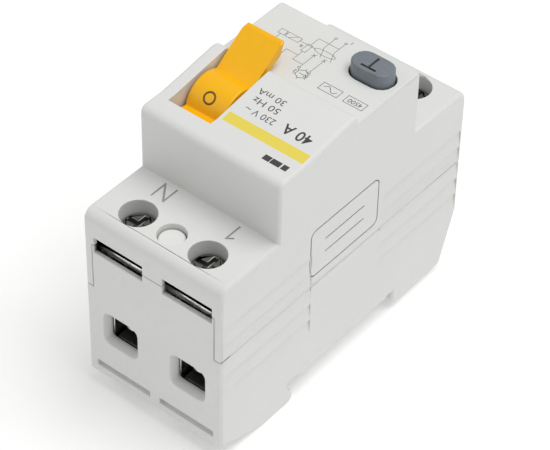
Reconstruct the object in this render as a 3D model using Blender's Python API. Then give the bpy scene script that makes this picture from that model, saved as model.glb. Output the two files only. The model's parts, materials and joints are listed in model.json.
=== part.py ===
"""Two-module residual current device for a 35 mm rail, as separate working pieces.

Sizes are in millimetres and become metres when a mesh is made. The rail seat is z = 0 with +Z out of
the rail, X runs across the modules, and the supply terminals are at the -Y end.
"""

import math

import bmesh
import bpy
from mathutils import Matrix, Vector

MM = 0.001

# Overall sizes
WIDTH = 36.0
HALF_LENGTH = 39.5
SHOULDER_Z = 43.4
NOSE_HALF = 22.2
NOSE_Z = 59.0
SEAM_Z = 23.6
WALL = 1.8
END_WALL = 2.2
FLOOR_Z = 2.0

# Clearances
GAP = 0.3
RUNNING = 0.35
OVERSHOOT = 1.0

# Edges of the housing
SIDE_CHAMFER = 0.5
SHOULDER_ROUND = 2.4
NOSE_NEAR_ROUND = 1.8
NOSE_FAR_ROUND = 0.8

# Raised label ramp on the nose
RAMP_START_Y = -15.0
RAMP_CREST_Y = 0.3
RAMP_RISE = 2.1
CREST_ROUND = 1.5
STEP_FOOT_Y = 2.1

# Rail side
RAIL_HALF = 17.75
SEAT_HALF = 15.5
SEAT_RAISE = 0.4
NEAR_END_Z = -1.2
FOOT_Z = -5.5
FOOT_START_Y = -26.6
HOOK_ROUND = 1.8
HOOK_LIP_Z = -1.3
FAR_FOOT_Z = -3.84
FAR_FOOT_ROUND = 2.0
FAR_CHAMFER_Y = HALF_LENGTH - 4.7
FAR_CHAMFER_Z = 9.3
FOOT_POCKET_CEILING = 0.4
FOOT_RIB = 3.0

# Ribbed grips on the sides
GRIP_PITCH = 4.5
GRIP_DEPTH = 0.35
GRIP_LIP = 0.02
GRIP_BANDS_ABOVE = 2
GRIP_BANDS_BELOW = 3
GRIP_INNER_Y = 11.5
GRIP_END_MARGIN = 0.8

# Terminals
TERMINAL_X = 9.0
TERMINAL_Y = HALF_LENGTH - 6.45
WELL_RADIUS = 3.95
WELL_WALL = 0.9
WELL_DEPTH = 5.8
BOX_HALF_X = 4.9
BOX_WALL = 1.1
BOX_LOW_Z = 6.9
BOX_HIGH_Z = 35.3
BOX_TOP_PLATE = 1.6
BOX_LENGTH = 8.4
BOX_LIP_HALF_X = 4.4
SCREW_RADIUS = 2.5
SCREW_HEAD_RADIUS = 3.55
SCREW_HEAD_LOW_Z = 38.0
SCREW_HEAD_HIGH_Z = 40.4
SCREW_TIP_Z = 15.9
SCREW_SLOT = 1.1
SCREW_SLOT_DEPTH = 1.3
FOOT_RADIUS = 3.5
FOOT_THICK = 1.2
STRAP_HALF_X = 3.3
STRAP_THICK = 1.2

# Openings in the end faces
SLOT_IN_X = 2.6
SLOT_OUT_X = 15.4
SLOT_LOW_Z = 33.4
SLOT_HIGH_Z = 37.4
SLOT_WALL = 1.0
SLOT_RELIEF_Z = 31.0
END_SEAM_Z = 35.2
END_SEAM_HALF_X = 16.05
SEAM_GAP = 0.15
ENTRY_HALF_X = 4.7
ENTRY_LOW_Z = 9.1
ENTRY_HIGH_Z = 17.9
ENTRY_BEVEL = 0.8
ENTRY_BEVEL_DEPTH = 1.3
ENTRY_CORNER = 1.8
LOWER_SLOT_IN_X = 1.3
LOWER_SLOT_OUT_X = 15.7
LOWER_SLOT_LOW_Z = 0.9
LOWER_SLOT_HIGH_Z = 2.4
LOWER_SLOT_DEPTH = 1.2

# Case screws and their covers, on the centre line between the terminals
CASE_SCREW_Y = HALF_LENGTH - 6.2
COLUMN_RADIUS = 3.7
COUNTERBORE_RADIUS = 3.1
COUNTERBORE_Z = 37.9
CASE_SCREW_HEAD = 2.8
CASE_SCREW_HEAD_Z = 40.6
CASE_SCREW_RADIUS = 1.4
CASE_SCREW_TIP_Z = 4.0
PLUG_RADIUS = 2.8
PLUG_TOP_Z = 42.2
PLUG_LOW_Z = 40.9
DIVIDER = 2.2
DIVIDER_END_Y = 24.0

# Toggle and its pocket
PIVOT_Y = -6.9
PIVOT_Z = 53.9
POCKET_LOW_X = -15.0
POCKET_HIGH_X = -4.0
POCKET_NEAR_Y = -17.0
SHROUD_WALL = 1.3
SHROUD_LOW_Z = 49.0
TOGGLE_SIDE_GAP = 0.7
DRUM_RADIUS = 6.05
SKIRT_RADIUS = 8.3
SKIRT_HALF_ANGLE = 50.0
LEVER_ANGLE = 36.0
LEVER_REACH = 17.4
LEVER_UPPER = 1.6
LEVER_LOWER = 0.65
PIN_RADIUS = 1.0
TRAVEL_ANGLE = 90.0

# Crank, drive link and contact carrier
CRANK_RADIUS = 6.0
CRANK_ANGLE = 190.0
LINK_FOOT_Y = -7.0
FORK_DROP = 3.2
LINK_X = -9.5
LINK_THICK = 1.2
LINK_HALF = 0.95
LINK_PIN_RADIUS = 0.7
LINK_PIN_HALF = 2.4
LINK_SLOT_START = 139.0
CARRIER_HALF_X = WIDTH / 2 - WALL - 2.4
CARRIER_HALF_Y = 2.5
CARRIER_TOP = 7.2
CONTACT_NEAR_Y = -14.5
CONTACT_FAR_Y = 0.5
CONTACT_RADIUS = 1.8
PAD_HEIGHT = 0.8
FIXED_STRAP_Z = 16.0
BAR_HALF_X = 3.0
BAR_OVERHANG = 2.3
BAR_THICK = 1.2
MID_STRAP_END_Y = 4.0
LOAD_STRAP_Z = 13.0
LOAD_STRAP_END_Y = 23.6

# Trip relay, its lever and the side plates of the mechanism
RELAY_X = 9.0
RELAY_Z = 45.0
RELAY_NEAR_Y = -19.6
RELAY_FAR_Y = -9.4
RELAY_HALF_X = 4.0
RELAY_PLATE = 1.0
BOBBIN_FLANGE = 4.0
BOBBIN_BARREL = 2.2
BOBBIN_BORE = 1.55
WINDING_RADIUS = 3.7
PLUNGER_RADIUS = 1.2
PLUNGER_TIP_Y = -4.2
PLUNGER_HEAD = 2.2
PLUNGER_NOSE = 0.8
PLUNGER_NOSE_LENGTH = 1.0
LEVER_PIVOT_Y = -1.5
LEVER_PIVOT_Z = 50.0
TRIP_PIN_RADIUS = 0.8
PLATE_THICK = 1.0
PLATE_MARGIN = 0.5
PLATE_LOW_Z = 36.0
PLATE_HIGH_Z = 55.0

# Status flag under its window
WINDOW_LOW_X = 9.9
WINDOW_HIGH_X = 14.4
WINDOW_LOW_Y = 1.9
WINDOW_HIGH_Y = 2.8
FLAG_THICK = 1.1
FLAG_NEAR_Y = -3.0
FLAG_FAR_Y = 6.2

# Current transformer
TOROID_Y = 13.5
TOROID_Z = 15.5
TOROID_RADIUS = 7.5
CORE_HALF_R = 1.8
CORE_HALF_Y = 3.2
CORE_CHAMFER = 1.1
WINDING_HALF_R = 2.7
WINDING_HALF_Y = 4.3
WINDING_TURNS = 14
CONDUCTOR_RADIUS = 1.05
CONDUCTOR_X = 2.4

# Electronics
BOARD_Z = 38.0
BOARD_THICK = 1.2
BOARD_HALF_X = WIDTH / 2 - WALL - 1.2
BOARD_NEAR_Y = 5.5
BOARD_FAR_Y = 19.8

# Test button
BUTTON_MARGIN = 0.15
BUTTON_Y = 15.3
BUTTON_HALF_STRAIGHT = 2.0
BUTTON_RADIUS = 2.95
BUTTON_X = WIDTH / 2 - WALL - BUTTON_MARGIN - BUTTON_HALF_STRAIGHT - BUTTON_RADIUS
BUTTON_TOP_Z = 62.0
BUTTON_CLEARANCE = 0.4
FLANGE_EXTRA = 0.6
FLANGE_HIGH_Z = 56.6
FLANGE_LOW_Z = 54.6
STEM_RADIUS = 1.5
STEM_TIP_Z = 46.2
BRACKET_LOW_Z = 46.8
BRACKET_THICK = 1.2

# Rail latch
LATCH_HALF_X = 6.0
LATCH_TIP_Y = 16.2
LATCH_END_Y = HALF_LENGTH - 0.9
LATCH_LOW_Z = -2.9
LATCH_HIGH_Z = -1.3
LATCH_SLOT_HALF_X = 3.5
LUG_Y = 24.0
LUG_TOP_Z = 0.7
SPRING_ROOM_END_Y = 32.0

HALF_X = WIDTH / 2
CEILING_Z = NOSE_Z - WALL
TOGGLE_LOW_X = POCKET_LOW_X + TOGGLE_SIDE_GAP
TOGGLE_HIGH_X = POCKET_HIGH_X - TOGGLE_SIDE_GAP


# ---------------------------------------------------------------- shapes


def arc(centre, radius, start, end, steps):
    """Points on a circle from one angle to another, in degrees."""
    angles = [math.radians(start + (end - start) * i / steps) for i in range(steps + 1)]
    return [(centre[0] + radius * math.cos(a), centre[1] + radius * math.sin(a)) for a in angles]


def inset(outline, distance):
    """The outline moved inwards; it runs anticlockwise."""
    moved = []
    for i, here in enumerate(outline):
        before = Vector(outline[i - 1])
        after = Vector(outline[(i + 1) % len(outline)])
        here = Vector(here)
        first = (here - before).normalized()
        second = (after - here).normalized()
        inward = Vector((-first.y - second.y, first.x + second.x)).normalized()
        lean = max(0.3, inward.dot(Vector((-first.y, first.x))))
        moved.append(tuple(here + inward * distance / lean))
    return moved


def placed(axis, u, v, along):
    """A point from two profile values and its place along the axis named x, y or z."""
    return {"x": (along, u, v), "y": (u, along, v), "z": (u, v, along)}[axis]


def add_loft(shape, axis, sections):
    """Closed body through outlines of equal length, each given as (outline, place along the axis)."""
    rings = []
    for outline, along in sections:
        rings.append([shape.verts.new(Vector(placed(axis, u, v, along)) * MM) for u, v in outline])
    faces = [shape.faces.new(rings[0]), shape.faces.new(rings[-1])]
    for low, high in zip(rings, rings[1:]):
        for i in range(len(low)):
            j = (i + 1) % len(low)
            faces.append(shape.faces.new((low[i], low[j], high[j], high[i])))
    bmesh.ops.recalc_face_normals(shape, faces=faces)


def add_prism(shape, axis, outline, low, high):
    add_loft(shape, axis, [(outline, low), (outline, high)])


def add_box(shape, low, high):
    outline = [(low[0], low[1]), (high[0], low[1]), (high[0], high[1]), (low[0], high[1])]
    add_prism(shape, "z", outline, low[2], high[2])


def add_cylinder(shape, axis, centre, radius, low, high, sides=20):
    add_prism(shape, axis, arc(centre, radius, 0, 360, sides)[:-1], low, high)


def add_turned(shape, axis, centre, profile, sides=20):
    """Solid of revolution about the axis; the profile lists (radius, place along the axis)."""
    sections = [(arc(centre, radius, 0, 360, sides)[:-1], along) for radius, along in profile]
    add_loft(shape, axis, sections)


def add_ring(shape, axis, centre, profile, sides=24):
    """Closed ring about the axis from a closed profile of (radius, place along the axis)."""
    rings = []
    for i in range(sides):
        angle = 2 * math.pi * i / sides
        spot = [(centre[0] + r * math.cos(angle), centre[1] + r * math.sin(angle), a) for r, a in profile]
        rings.append([shape.verts.new(Vector(placed(axis, u, v, a)) * MM) for u, v, a in spot])
    faces = []
    for i in range(sides):
        here, after = rings[i], rings[(i + 1) % sides]
        for j in range(len(profile)):
            k = (j + 1) % len(profile)
            faces.append(shape.faces.new((here[j], here[k], after[k], after[j])))
    bmesh.ops.recalc_face_normals(shape, faces=faces)


def rectangle(low_u, low_v, high_u, high_v):
    return [(low_u, low_v), (high_u, low_v), (high_u, high_v), (low_u, high_v)]


def rounded_rectangle(low_u, low_v, high_u, high_v, radius, steps=3):
    corners = (
        ((high_u - radius, low_v + radius), -90),
        ((high_u - radius, high_v - radius), 0),
        ((low_u + radius, high_v - radius), 90),
        ((low_u + radius, low_v + radius), 180),
    )
    points = []
    for centre, start in corners:
        points += arc(centre, radius, start, start + 90, steps)
    return points


def stadium(centre, half_straight, radius, steps=8):
    right = arc((centre[0] + half_straight, centre[1]), radius, -90, 90, steps)
    left = arc((centre[0] - half_straight, centre[1]), radius, 90, 270, steps)
    return right + left


def strip(path, thickness):
    """Outline of a bent metal strip from its centre line."""
    sides = ([], [])
    for i, here in enumerate(path):
        before = Vector(path[max(i - 1, 0)])
        after = Vector(path[min(i + 1, len(path) - 1)])
        here = Vector(here)
        first = (here - before).normalized() if i else (after - here).normalized()
        second = (after - here).normalized() if i < len(path) - 1 else first
        across = Vector((-first.y - second.y, first.x + second.x)).normalized()
        reach = thickness / 2 / across.dot(Vector((-first.y, first.x)))
        sides[0].append(tuple(here + across * reach))
        sides[1].append(tuple(here - across * reach))
    return sides[0] + sides[1][::-1]


def turned_about(outline, centre, degrees):
    """Outline given about the origin, turned and moved to the centre."""
    c, s = math.cos(math.radians(degrees)), math.sin(math.radians(degrees))
    return [(centre[0] + u * c - v * s, centre[1] + u * s + v * c) for u, v in outline]


# ---------------------------------------------------------------- objects


def finish(name, colour, roughness, metallic=0.0):
    material = bpy.data.materials.new(name)
    material.use_nodes = True
    shader = material.node_tree.nodes["Principled BSDF"]
    shader.inputs["Base Color"].default_value = (*colour, 1.0)
    shader.inputs["Roughness"].default_value = roughness
    shader.inputs["Metallic"].default_value = metallic
    return material


def piece(name, shape, material, origin=(0.0, 0.0, 0.0)):
    """Object from a bmesh in device coordinates, with its own origin."""
    start = Vector(origin) * MM
    bmesh.ops.translate(shape, verts=shape.verts, vec=-start)
    mesh = bpy.data.meshes.new(name)
    shape.to_mesh(mesh)
    shape.free()
    mesh.shade_smooth()
    mesh.set_sharp_from_angle(angle=math.radians(35))
    mesh.materials.append(material)
    made = bpy.data.objects.new(name, mesh)
    made.location = start
    bpy.context.scene.collection.objects.link(made)
    return made


def helper(target, shape, operation):
    """Boolean by a hidden helper shape."""
    name = f"{target.name}_{operation.lower()}_{len(target.modifiers)}"
    tool = piece(name, shape, target.data.materials[0])
    tool.hide_render = True
    tool.display_type = "WIRE"
    modifier = target.modifiers.new(name, "BOOLEAN")
    modifier.operation = operation
    modifier.solver = "EXACT"
    modifier.object = tool
    return target


def cut(target, shape):
    return helper(target, shape, "DIFFERENCE")


def join(target, shape):
    return helper(target, shape, "UNION")


def wire(name, points, radius, material, sides=0):
    """Round bar along a path of points in device coordinates."""
    curve = bpy.data.curves.new(name, "CURVE")
    curve.dimensions = "3D"
    curve.bevel_depth = radius * MM
    curve.bevel_resolution = sides
    curve.use_fill_caps = True
    spline = curve.splines.new("POLY")
    spline.points.add(len(points) - 1)
    for spot, point in zip(spline.points, points):
        spot.co = (*(Vector(point) * MM), 1.0)
    curve.materials.append(material)
    made = bpy.data.objects.new(name, curve)
    bpy.context.scene.collection.objects.link(made)
    return made


def coil_points(axis, centre, radius, low, high, turns, per_turn=10):
    """Helix about the axis between two places along it."""
    count = round(turns * per_turn)
    points = []
    for i in range(count + 1):
        angle = 2 * math.pi * i / per_turn
        u = centre[0] + radius * math.cos(angle)
        v = centre[1] + radius * math.sin(angle)
        points.append(placed(axis, u, v, low + (high - low) * i / count))
    return points


# ---------------------------------------------------------------- housing


def cover_outline():
    """Side outline of the front cover, from its seam upwards, anticlockwise seen from +X."""
    low = SEAM_Z + SEAM_GAP / 2
    r, n, f = SHOULDER_ROUND, NOSE_NEAR_ROUND, NOSE_FAR_ROUND
    points = [(-HALF_LENGTH, low), (HALF_LENGTH, low)]
    points += arc((HALF_LENGTH - r, SHOULDER_Z - r), r, 0, 90, 4)
    points += [(NOSE_HALF, SHOULDER_Z)]
    points += arc((NOSE_HALF - f, NOSE_Z - f), f, 0, 90, 2)
    points += [(STEP_FOOT_Y, NOSE_Z)]
    points += arc((RAMP_CREST_Y, NOSE_Z + RAMP_RISE - CREST_ROUND), CREST_ROUND, 10, 90, 4)
    points += [(RAMP_START_Y, NOSE_Z)]
    points += arc((-NOSE_HALF + n, NOSE_Z - n), n, 90, 180, 4)
    points += [(-NOSE_HALF, SHOULDER_Z)]
    points += arc((-HALF_LENGTH + r, SHOULDER_Z - r), r, 90, 180, 4)
    return points


def base_outline():
    """Side outline of the rear base, from its seam downwards, anticlockwise seen from +X."""
    high = SEAM_Z - SEAM_GAP / 2
    hook = (-RAIL_HALF - HOOK_ROUND * 0.2, FOOT_Z + HOOK_ROUND)
    far = (RAIL_HALF + FAR_FOOT_ROUND, FAR_FOOT_Z + FAR_FOOT_ROUND)
    points = [(-HALF_LENGTH, high), (-HALF_LENGTH, NEAR_END_Z), (FOOT_START_Y, FOOT_Z)]
    points += arc(hook, HOOK_ROUND, -90, 60, 6)
    points += [(-RAIL_HALF, HOOK_LIP_Z), (-RAIL_HALF, SEAT_RAISE)]
    points += [(-SEAT_HALF, SEAT_RAISE), (-SEAT_HALF, 0.0), (SEAT_HALF, 0.0), (SEAT_HALF, SEAT_RAISE)]
    points += [(RAIL_HALF, SEAT_RAISE)]
    points += arc(far, FAR_FOOT_ROUND, 180, 270, 4)
    points += [(FAR_CHAMFER_Y, FAR_FOOT_Z), (HALF_LENGTH, FAR_CHAMFER_Z), (HALF_LENGTH, high)]
    return points


def add_side_shell(shape, outline):
    """Prism across the full width with chamfered side edges."""
    small = inset(outline, SIDE_CHAMFER)
    inner = HALF_X - SIDE_CHAMFER
    add_loft(shape, "x", [(small, -HALF_X), (outline, -inner), (outline, inner), (small, HALF_X)])


def add_grips(shape, top, bands):
    """Shallow sawtooth bands cut into both sides near both ends, from the top band downwards."""
    end = HALF_LENGTH - GRIP_END_MARGIN
    for side in (-1, 1):
        outside = side * (HALF_X + OVERSHOOT)
        teeth = [(outside, top)]
        for i in range(bands):
            teeth.append((side * (HALF_X - GRIP_DEPTH), top - GRIP_PITCH * i))
            teeth.append((side * (HALF_X + GRIP_LIP), top - GRIP_PITCH * (i + 1)))
        teeth.append((outside, top - GRIP_PITCH * bands))
        add_prism(shape, "y", teeth, -end, -GRIP_INNER_Y)
        add_prism(shape, "y", teeth, GRIP_INNER_Y, end)


def add_busbar_slots(shape, end):
    """Slots for comb busbars through one end wall; end is -1 or 1."""
    span = sorted((end * (HALF_LENGTH - END_WALL - OVERSHOOT), end * (HALF_LENGTH + OVERSHOOT)))
    for side in (-1, 1):
        across = sorted((side * SLOT_IN_X, side * SLOT_OUT_X))
        add_box(shape, (across[0], span[0], SLOT_LOW_Z), (across[1], span[1], SLOT_HIGH_Z))


def relieve_slots(target):
    """Thins the end walls behind the busbar slots."""
    for end in (-1, 1):
        shape = bmesh.new()
        span = sorted((end * (HALF_LENGTH - SLOT_WALL), end * (HALF_LENGTH - END_WALL - OVERSHOOT)))
        for side in (-1, 1):
            across = sorted((side * (SLOT_IN_X - 0.6), side * (SLOT_OUT_X + 0.2)))
            add_box(shape, (across[0], span[0], SLOT_RELIEF_Z), (across[1], span[1], SLOT_HIGH_Z + 0.05))
        cut(target, shape)
    return target


def add_carrier_rails(shape, low, high):
    """Ribs on both side walls that the contact carrier slides between."""
    for side in (-1, 1):
        across = sorted((side * (CARRIER_HALF_X - 0.8), side * (HALF_X - WALL / 2)))
        for edge in (-1, 1):
            inner = LINK_FOOT_Y + edge * (CARRIER_HALF_Y + GAP)
            span = sorted((inner, inner + edge * 1.1))
            add_box(shape, (across[0], span[0], low), (across[1], span[1], high))


def front_cover(material):
    shell = bmesh.new()
    add_side_shell(shell, cover_outline())
    cover = piece("front_cover", shell, material)

    inside = HALF_LENGTH - END_WALL
    nose_inside = NOSE_HALF - WALL
    shoulder_inside = SHOULDER_Z - WALL
    room = [
        (-inside, SEAM_Z - OVERSHOOT),
        (inside, SEAM_Z - OVERSHOOT),
        (inside, shoulder_inside),
        (nose_inside, shoulder_inside),
        (nose_inside, CEILING_Z),
        (-nose_inside, CEILING_Z),
        (-nose_inside, shoulder_inside),
        (-inside, shoulder_inside),
    ]
    hollow = bmesh.new()
    add_prism(hollow, "x", room, -HALF_X + WALL, HALF_X - WALL)
    cut(cover, hollow)

    added = bmesh.new()
    low = (POCKET_LOW_X - SHROUD_WALL, POCKET_NEAR_Y - SHROUD_WALL, SHROUD_LOW_Z)
    high = (POCKET_HIGH_X + SHROUD_WALL, STEP_FOOT_Y + SHROUD_WALL, NOSE_Z - WALL / 2)
    add_box(added, low, high)
    for end in (-1, 1):
        add_cylinder(added, "z", (0, end * CASE_SCREW_Y), COLUMN_RADIUS, SEAM_Z + GAP, SHOULDER_Z - WALL / 2)
        for side in (-1, 1):
            well = (side * TERMINAL_X, end * TERMINAL_Y)
            add_cylinder(added, "z", well, WELL_RADIUS + WELL_WALL, SHOULDER_Z - WELL_DEPTH, SHOULDER_Z - WALL / 2)
    join(cover, added)

    ribs = bmesh.new()
    add_carrier_rails(ribs, SEAM_Z + GAP, PLATE_LOW_Z - 2 * GAP)
    for side in (-1, 1):
        across = sorted((side * (BOARD_HALF_X - 0.8), side * (HALF_X - WALL / 2)))
        add_box(ribs, (across[0], BOARD_NEAR_Y + 0.5, BOARD_Z - 1.8), (across[1], BOARD_FAR_Y - 0.5, BOARD_Z - GAP))
    join(cover, ribs)

    holes = bmesh.new()
    for end in (-1, 1):
        span = sorted((end * (HALF_LENGTH + OVERSHOOT), end * (inside - OVERSHOOT)))
        low = (-END_SEAM_HALF_X, span[0], SEAM_Z - OVERSHOOT)
        high = (END_SEAM_HALF_X, span[1], END_SEAM_Z + SEAM_GAP / 2)
        add_box(holes, low, high)
        for side in (-1, 1):
            well = (side * TERMINAL_X, end * TERMINAL_Y)
            add_cylinder(holes, "z", well, WELL_RADIUS, SHOULDER_Z - WELL_DEPTH - OVERSHOOT, SHOULDER_Z + OVERSHOOT, 24)
        centre = (0, end * CASE_SCREW_Y)
        bore = CASE_SCREW_RADIUS + RUNNING
        stepped = [
            (bore, SEAM_Z - OVERSHOOT),
            (bore, COUNTERBORE_Z),
            (COUNTERBORE_RADIUS, COUNTERBORE_Z),
            (COUNTERBORE_RADIUS, SHOULDER_Z + OVERSHOOT),
        ]
        add_turned(holes, "z", centre, stepped, 24)
    add_box(
        holes,
        (POCKET_LOW_X, POCKET_NEAR_Y, SHROUD_LOW_Z - OVERSHOOT),
        (POCKET_HIGH_X, STEP_FOOT_Y + SEAM_GAP / 3, NOSE_Z + RAMP_RISE + OVERSHOOT),
    )
    clearance = BUTTON_RADIUS + BUTTON_CLEARANCE
    hole = stadium((BUTTON_X, BUTTON_Y), BUTTON_HALF_STRAIGHT, clearance)
    add_prism(holes, "z", hole, CEILING_Z - OVERSHOOT, NOSE_Z + OVERSHOOT)
    add_box(
        holes,
        (WINDOW_LOW_X, WINDOW_LOW_Y, CEILING_Z - OVERSHOOT),
        (WINDOW_HIGH_X, WINDOW_HIGH_Y, NOSE_Z + RAMP_RISE + OVERSHOOT),
    )
    cut(cover, holes)

    slots = bmesh.new()
    for end in (-1, 1):
        add_busbar_slots(slots, end)
    bearing = PIN_RADIUS + RUNNING
    add_cylinder(slots, "x", (PIVOT_Y, PIVOT_Z), bearing, POCKET_LOW_X - 2.0, POCKET_HIGH_X + SHROUD_WALL + 1.0, 16)
    cut(cover, slots)

    grips = bmesh.new()
    add_grips(grips, SEAM_Z + GRIP_PITCH * GRIP_BANDS_ABOVE, GRIP_BANDS_ABOVE)
    cut(cover, grips)
    return relieve_slots(cover)


def rear_base(material):
    shell = bmesh.new()
    add_side_shell(shell, base_outline())
    base = piece("rear_base", shell, material)

    inside = HALF_LENGTH - END_WALL
    hollow = bmesh.new()
    add_box(hollow, (-HALF_X + WALL, -inside, FLOOR_Z), (HALF_X - WALL, inside, SEAM_Z + OVERSHOOT))
    cut(base, hollow)

    added = bmesh.new()
    tongue = END_SEAM_HALF_X - SEAM_GAP
    for end in (-1, 1):
        span = sorted((end * HALF_LENGTH, end * inside))
        add_box(added, (-tongue, span[0], FLOOR_Z + OVERSHOOT), (tongue, span[1], END_SEAM_Z - SEAM_GAP / 2))
    join(base, added)

    columns = bmesh.new()
    for end in (-1, 1):
        add_cylinder(columns, "z", (0, end * CASE_SCREW_Y), COLUMN_RADIUS, FLOOR_Z - OVERSHOOT, SEAM_Z - GAP)
    join(base, columns)

    walls = bmesh.new()
    for end in (-1, 1):
        span = sorted((end * DIVIDER_END_Y, end * (CASE_SCREW_Y - COLUMN_RADIUS + 0.5)))
        add_box(walls, (-DIVIDER / 2, span[0], FLOOR_Z - OVERSHOOT), (DIVIDER / 2, span[1], SEAM_Z - 2 * GAP))
        span = sorted((end * (CASE_SCREW_Y + COLUMN_RADIUS - 0.5), end * (inside + 0.5)))
        add_box(walls, (-DIVIDER / 2, span[0], FLOOR_Z - OVERSHOOT), (DIVIDER / 2, span[1], SEAM_Z - 2 * GAP))
    join(base, walls)

    inner = bmesh.new()
    add_carrier_rails(inner, FLOOR_Z - OVERSHOOT, SEAM_Z - GAP)
    for side in (-1, 1):
        low_x, high_x = side * TERMINAL_X - 2.6, side * TERMINAL_X + 2.6
        for near, far in ((CONTACT_NEAR_Y - 2.5, CONTACT_NEAR_Y + 2.0), (CONTACT_FAR_Y - 1.8, MID_STRAP_END_Y - 0.4)):
            add_box(inner, (low_x, near, FLOOR_Z - OVERSHOOT), (high_x, far, FIXED_STRAP_Z - GAP))
        for end in (-1, 1):
            span = sorted((end * (inside - 1.2), end * (inside - BOX_LENGTH + 0.8)))
            add_box(inner, (low_x, span[0], FLOOR_Z - OVERSHOOT), (high_x, span[1], BOX_LOW_Z - GAP))
    add_box(inner, (-3.0, TOROID_Y - 2.5, FLOOR_Z - OVERSHOOT), (3.0, TOROID_Y + 2.5, FLOOR_Z + 2.6))
    join(base, inner)

    screens = bmesh.new()
    for end in (-1, 1):
        edge = inside - BOX_LENGTH - 2 * GAP
        span = sorted((end * edge, end * (edge - 1.1)))
        add_box(screens, (-HALF_X + WALL / 2, span[0], FLOOR_Z - OVERSHOOT), (HALF_X - WALL / 2, span[1], SEAM_Z - 3 * GAP))
    join(base, screens)

    gates = bmesh.new()
    for end in (-1, 1):
        edge = inside - BOX_LENGTH - 2 * GAP
        span = sorted((end * (edge + OVERSHOOT), end * (edge - 1.1 - OVERSHOOT)))
        for side in (-1, 1):
            low_x, high_x = side * TERMINAL_X - STRAP_HALF_X - GAP, side * TERMINAL_X + STRAP_HALF_X + GAP
            add_box(gates, (low_x, span[0], BOX_LOW_Z + BOX_WALL), (high_x, span[1], BOX_LOW_Z + BOX_WALL + 2.4))
    cut(base, gates)

    holes = bmesh.new()
    for end in (-1, 1):
        add_cylinder(holes, "z", (0, end * CASE_SCREW_Y), CASE_SCREW_RADIUS + RUNNING, CASE_SCREW_TIP_Z - GAP, SEAM_Z, 16)
        add_busbar_slots(holes, end)
        face = end * HALF_LENGTH
        for side in (-1, 1):
            x = side * TERMINAL_X
            b = ENTRY_BEVEL
            outer = rounded_rectangle(
                x - ENTRY_HALF_X, ENTRY_LOW_Z, x + ENTRY_HALF_X, ENTRY_HIGH_Z, ENTRY_CORNER
            )
            inner = rounded_rectangle(
                x - ENTRY_HALF_X + b, ENTRY_LOW_Z + b, x + ENTRY_HALF_X - b, ENTRY_HIGH_Z - b / 2, ENTRY_CORNER - b
            )
            funnel = [
                (outer, face + end * OVERSHOOT),
                (outer, face),
                (inner, face - end * ENTRY_BEVEL_DEPTH),
                (inner, face - end * (END_WALL + OVERSHOOT)),
            ]
            add_loft(holes, "y", funnel)
            across = sorted((side * LOWER_SLOT_IN_X, side * LOWER_SLOT_OUT_X))
            span = sorted((face + end * OVERSHOOT, face - end * LOWER_SLOT_DEPTH))
            add_box(holes, (across[0], span[0], LOWER_SLOT_LOW_Z), (across[1], span[1], LOWER_SLOT_HIGH_Z))
    cut(base, holes)

    grips = bmesh.new()
    add_grips(grips, SEAM_Z, GRIP_BANDS_BELOW)
    cut(base, grips)
    relieve_slots(base)

    under = bmesh.new()
    for side in (-1, 1):
        across = sorted((side * FOOT_RIB, side * (HALF_X - FOOT_RIB)))
        low = (across[0], -HALF_LENGTH + FOOT_RIB, FOOT_Z - OVERSHOOT)
        add_box(under, low, (across[1], FOOT_START_Y + FOOT_RIB, FOOT_POCKET_CEILING))
    add_box(
        under,
        (-LATCH_HALF_X - GAP, LATCH_TIP_Y - GAP, LATCH_LOW_Z - GAP),
        (LATCH_HALF_X + GAP, HALF_LENGTH + OVERSHOOT, LATCH_HIGH_Z + GAP),
    )
    cut(base, under)

    latch_room = bmesh.new()
    add_box(
        latch_room,
        (-LATCH_SLOT_HALF_X, LATCH_TIP_Y, FAR_FOOT_Z - OVERSHOOT),
        (LATCH_SLOT_HALF_X, HALF_LENGTH + OVERSHOOT, LATCH_HIGH_Z),
    )
    add_box(
        latch_room,
        (-1.4, LUG_Y - 0.9, LATCH_HIGH_Z + GAP / 2),
        (1.4, SPRING_ROOM_END_Y, LUG_TOP_Z + GAP),
    )
    return cut(base, latch_room)


def plug(name, end, material):
    shape = bmesh.new()
    centre = (0, end * CASE_SCREW_Y)
    profile = [(PLUG_RADIUS, PLUG_LOW_Z), (PLUG_RADIUS, PLUG_TOP_Z - 0.2), (PLUG_RADIUS - 0.2, PLUG_TOP_Z)]
    add_turned(shape, "z", centre, profile, 24)
    return piece(name, shape, material, (0, end * CASE_SCREW_Y, PLUG_LOW_Z))


def case_screw(name, end, material):
    shape = bmesh.new()
    under_head = COUNTERBORE_Z + GAP
    profile = [
        (CASE_SCREW_RADIUS * 0.5, CASE_SCREW_TIP_Z),
        (CASE_SCREW_RADIUS, CASE_SCREW_TIP_Z + 1.2),
        (CASE_SCREW_RADIUS, under_head),
        (CASE_SCREW_HEAD, under_head),
        (CASE_SCREW_HEAD, CASE_SCREW_HEAD_Z),
    ]
    add_turned(shape, "z", (0, end * CASE_SCREW_Y), profile, 16)
    screw = piece(name, shape, material, (0, end * CASE_SCREW_Y, CASE_SCREW_TIP_Z))
    return cross_slot(screw, (0, end * CASE_SCREW_Y), CASE_SCREW_HEAD_Z, 0.8, 3.6, 1.2)


def cross_slot(screw, centre, top, width, length, depth):
    """Cross recess cut into a screw's head."""
    for half_x, half_y in ((length / 2, width / 2), (width / 2, length / 2)):
        shape = bmesh.new()
        low = (centre[0] - half_x, centre[1] - half_y, top - depth)
        add_box(shape, low, (centre[0] + half_x, centre[1] + half_y, top + OVERSHOOT))
        cut(screw, shape)
    return screw


# ---------------------------------------------------------------- rail latch


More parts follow.
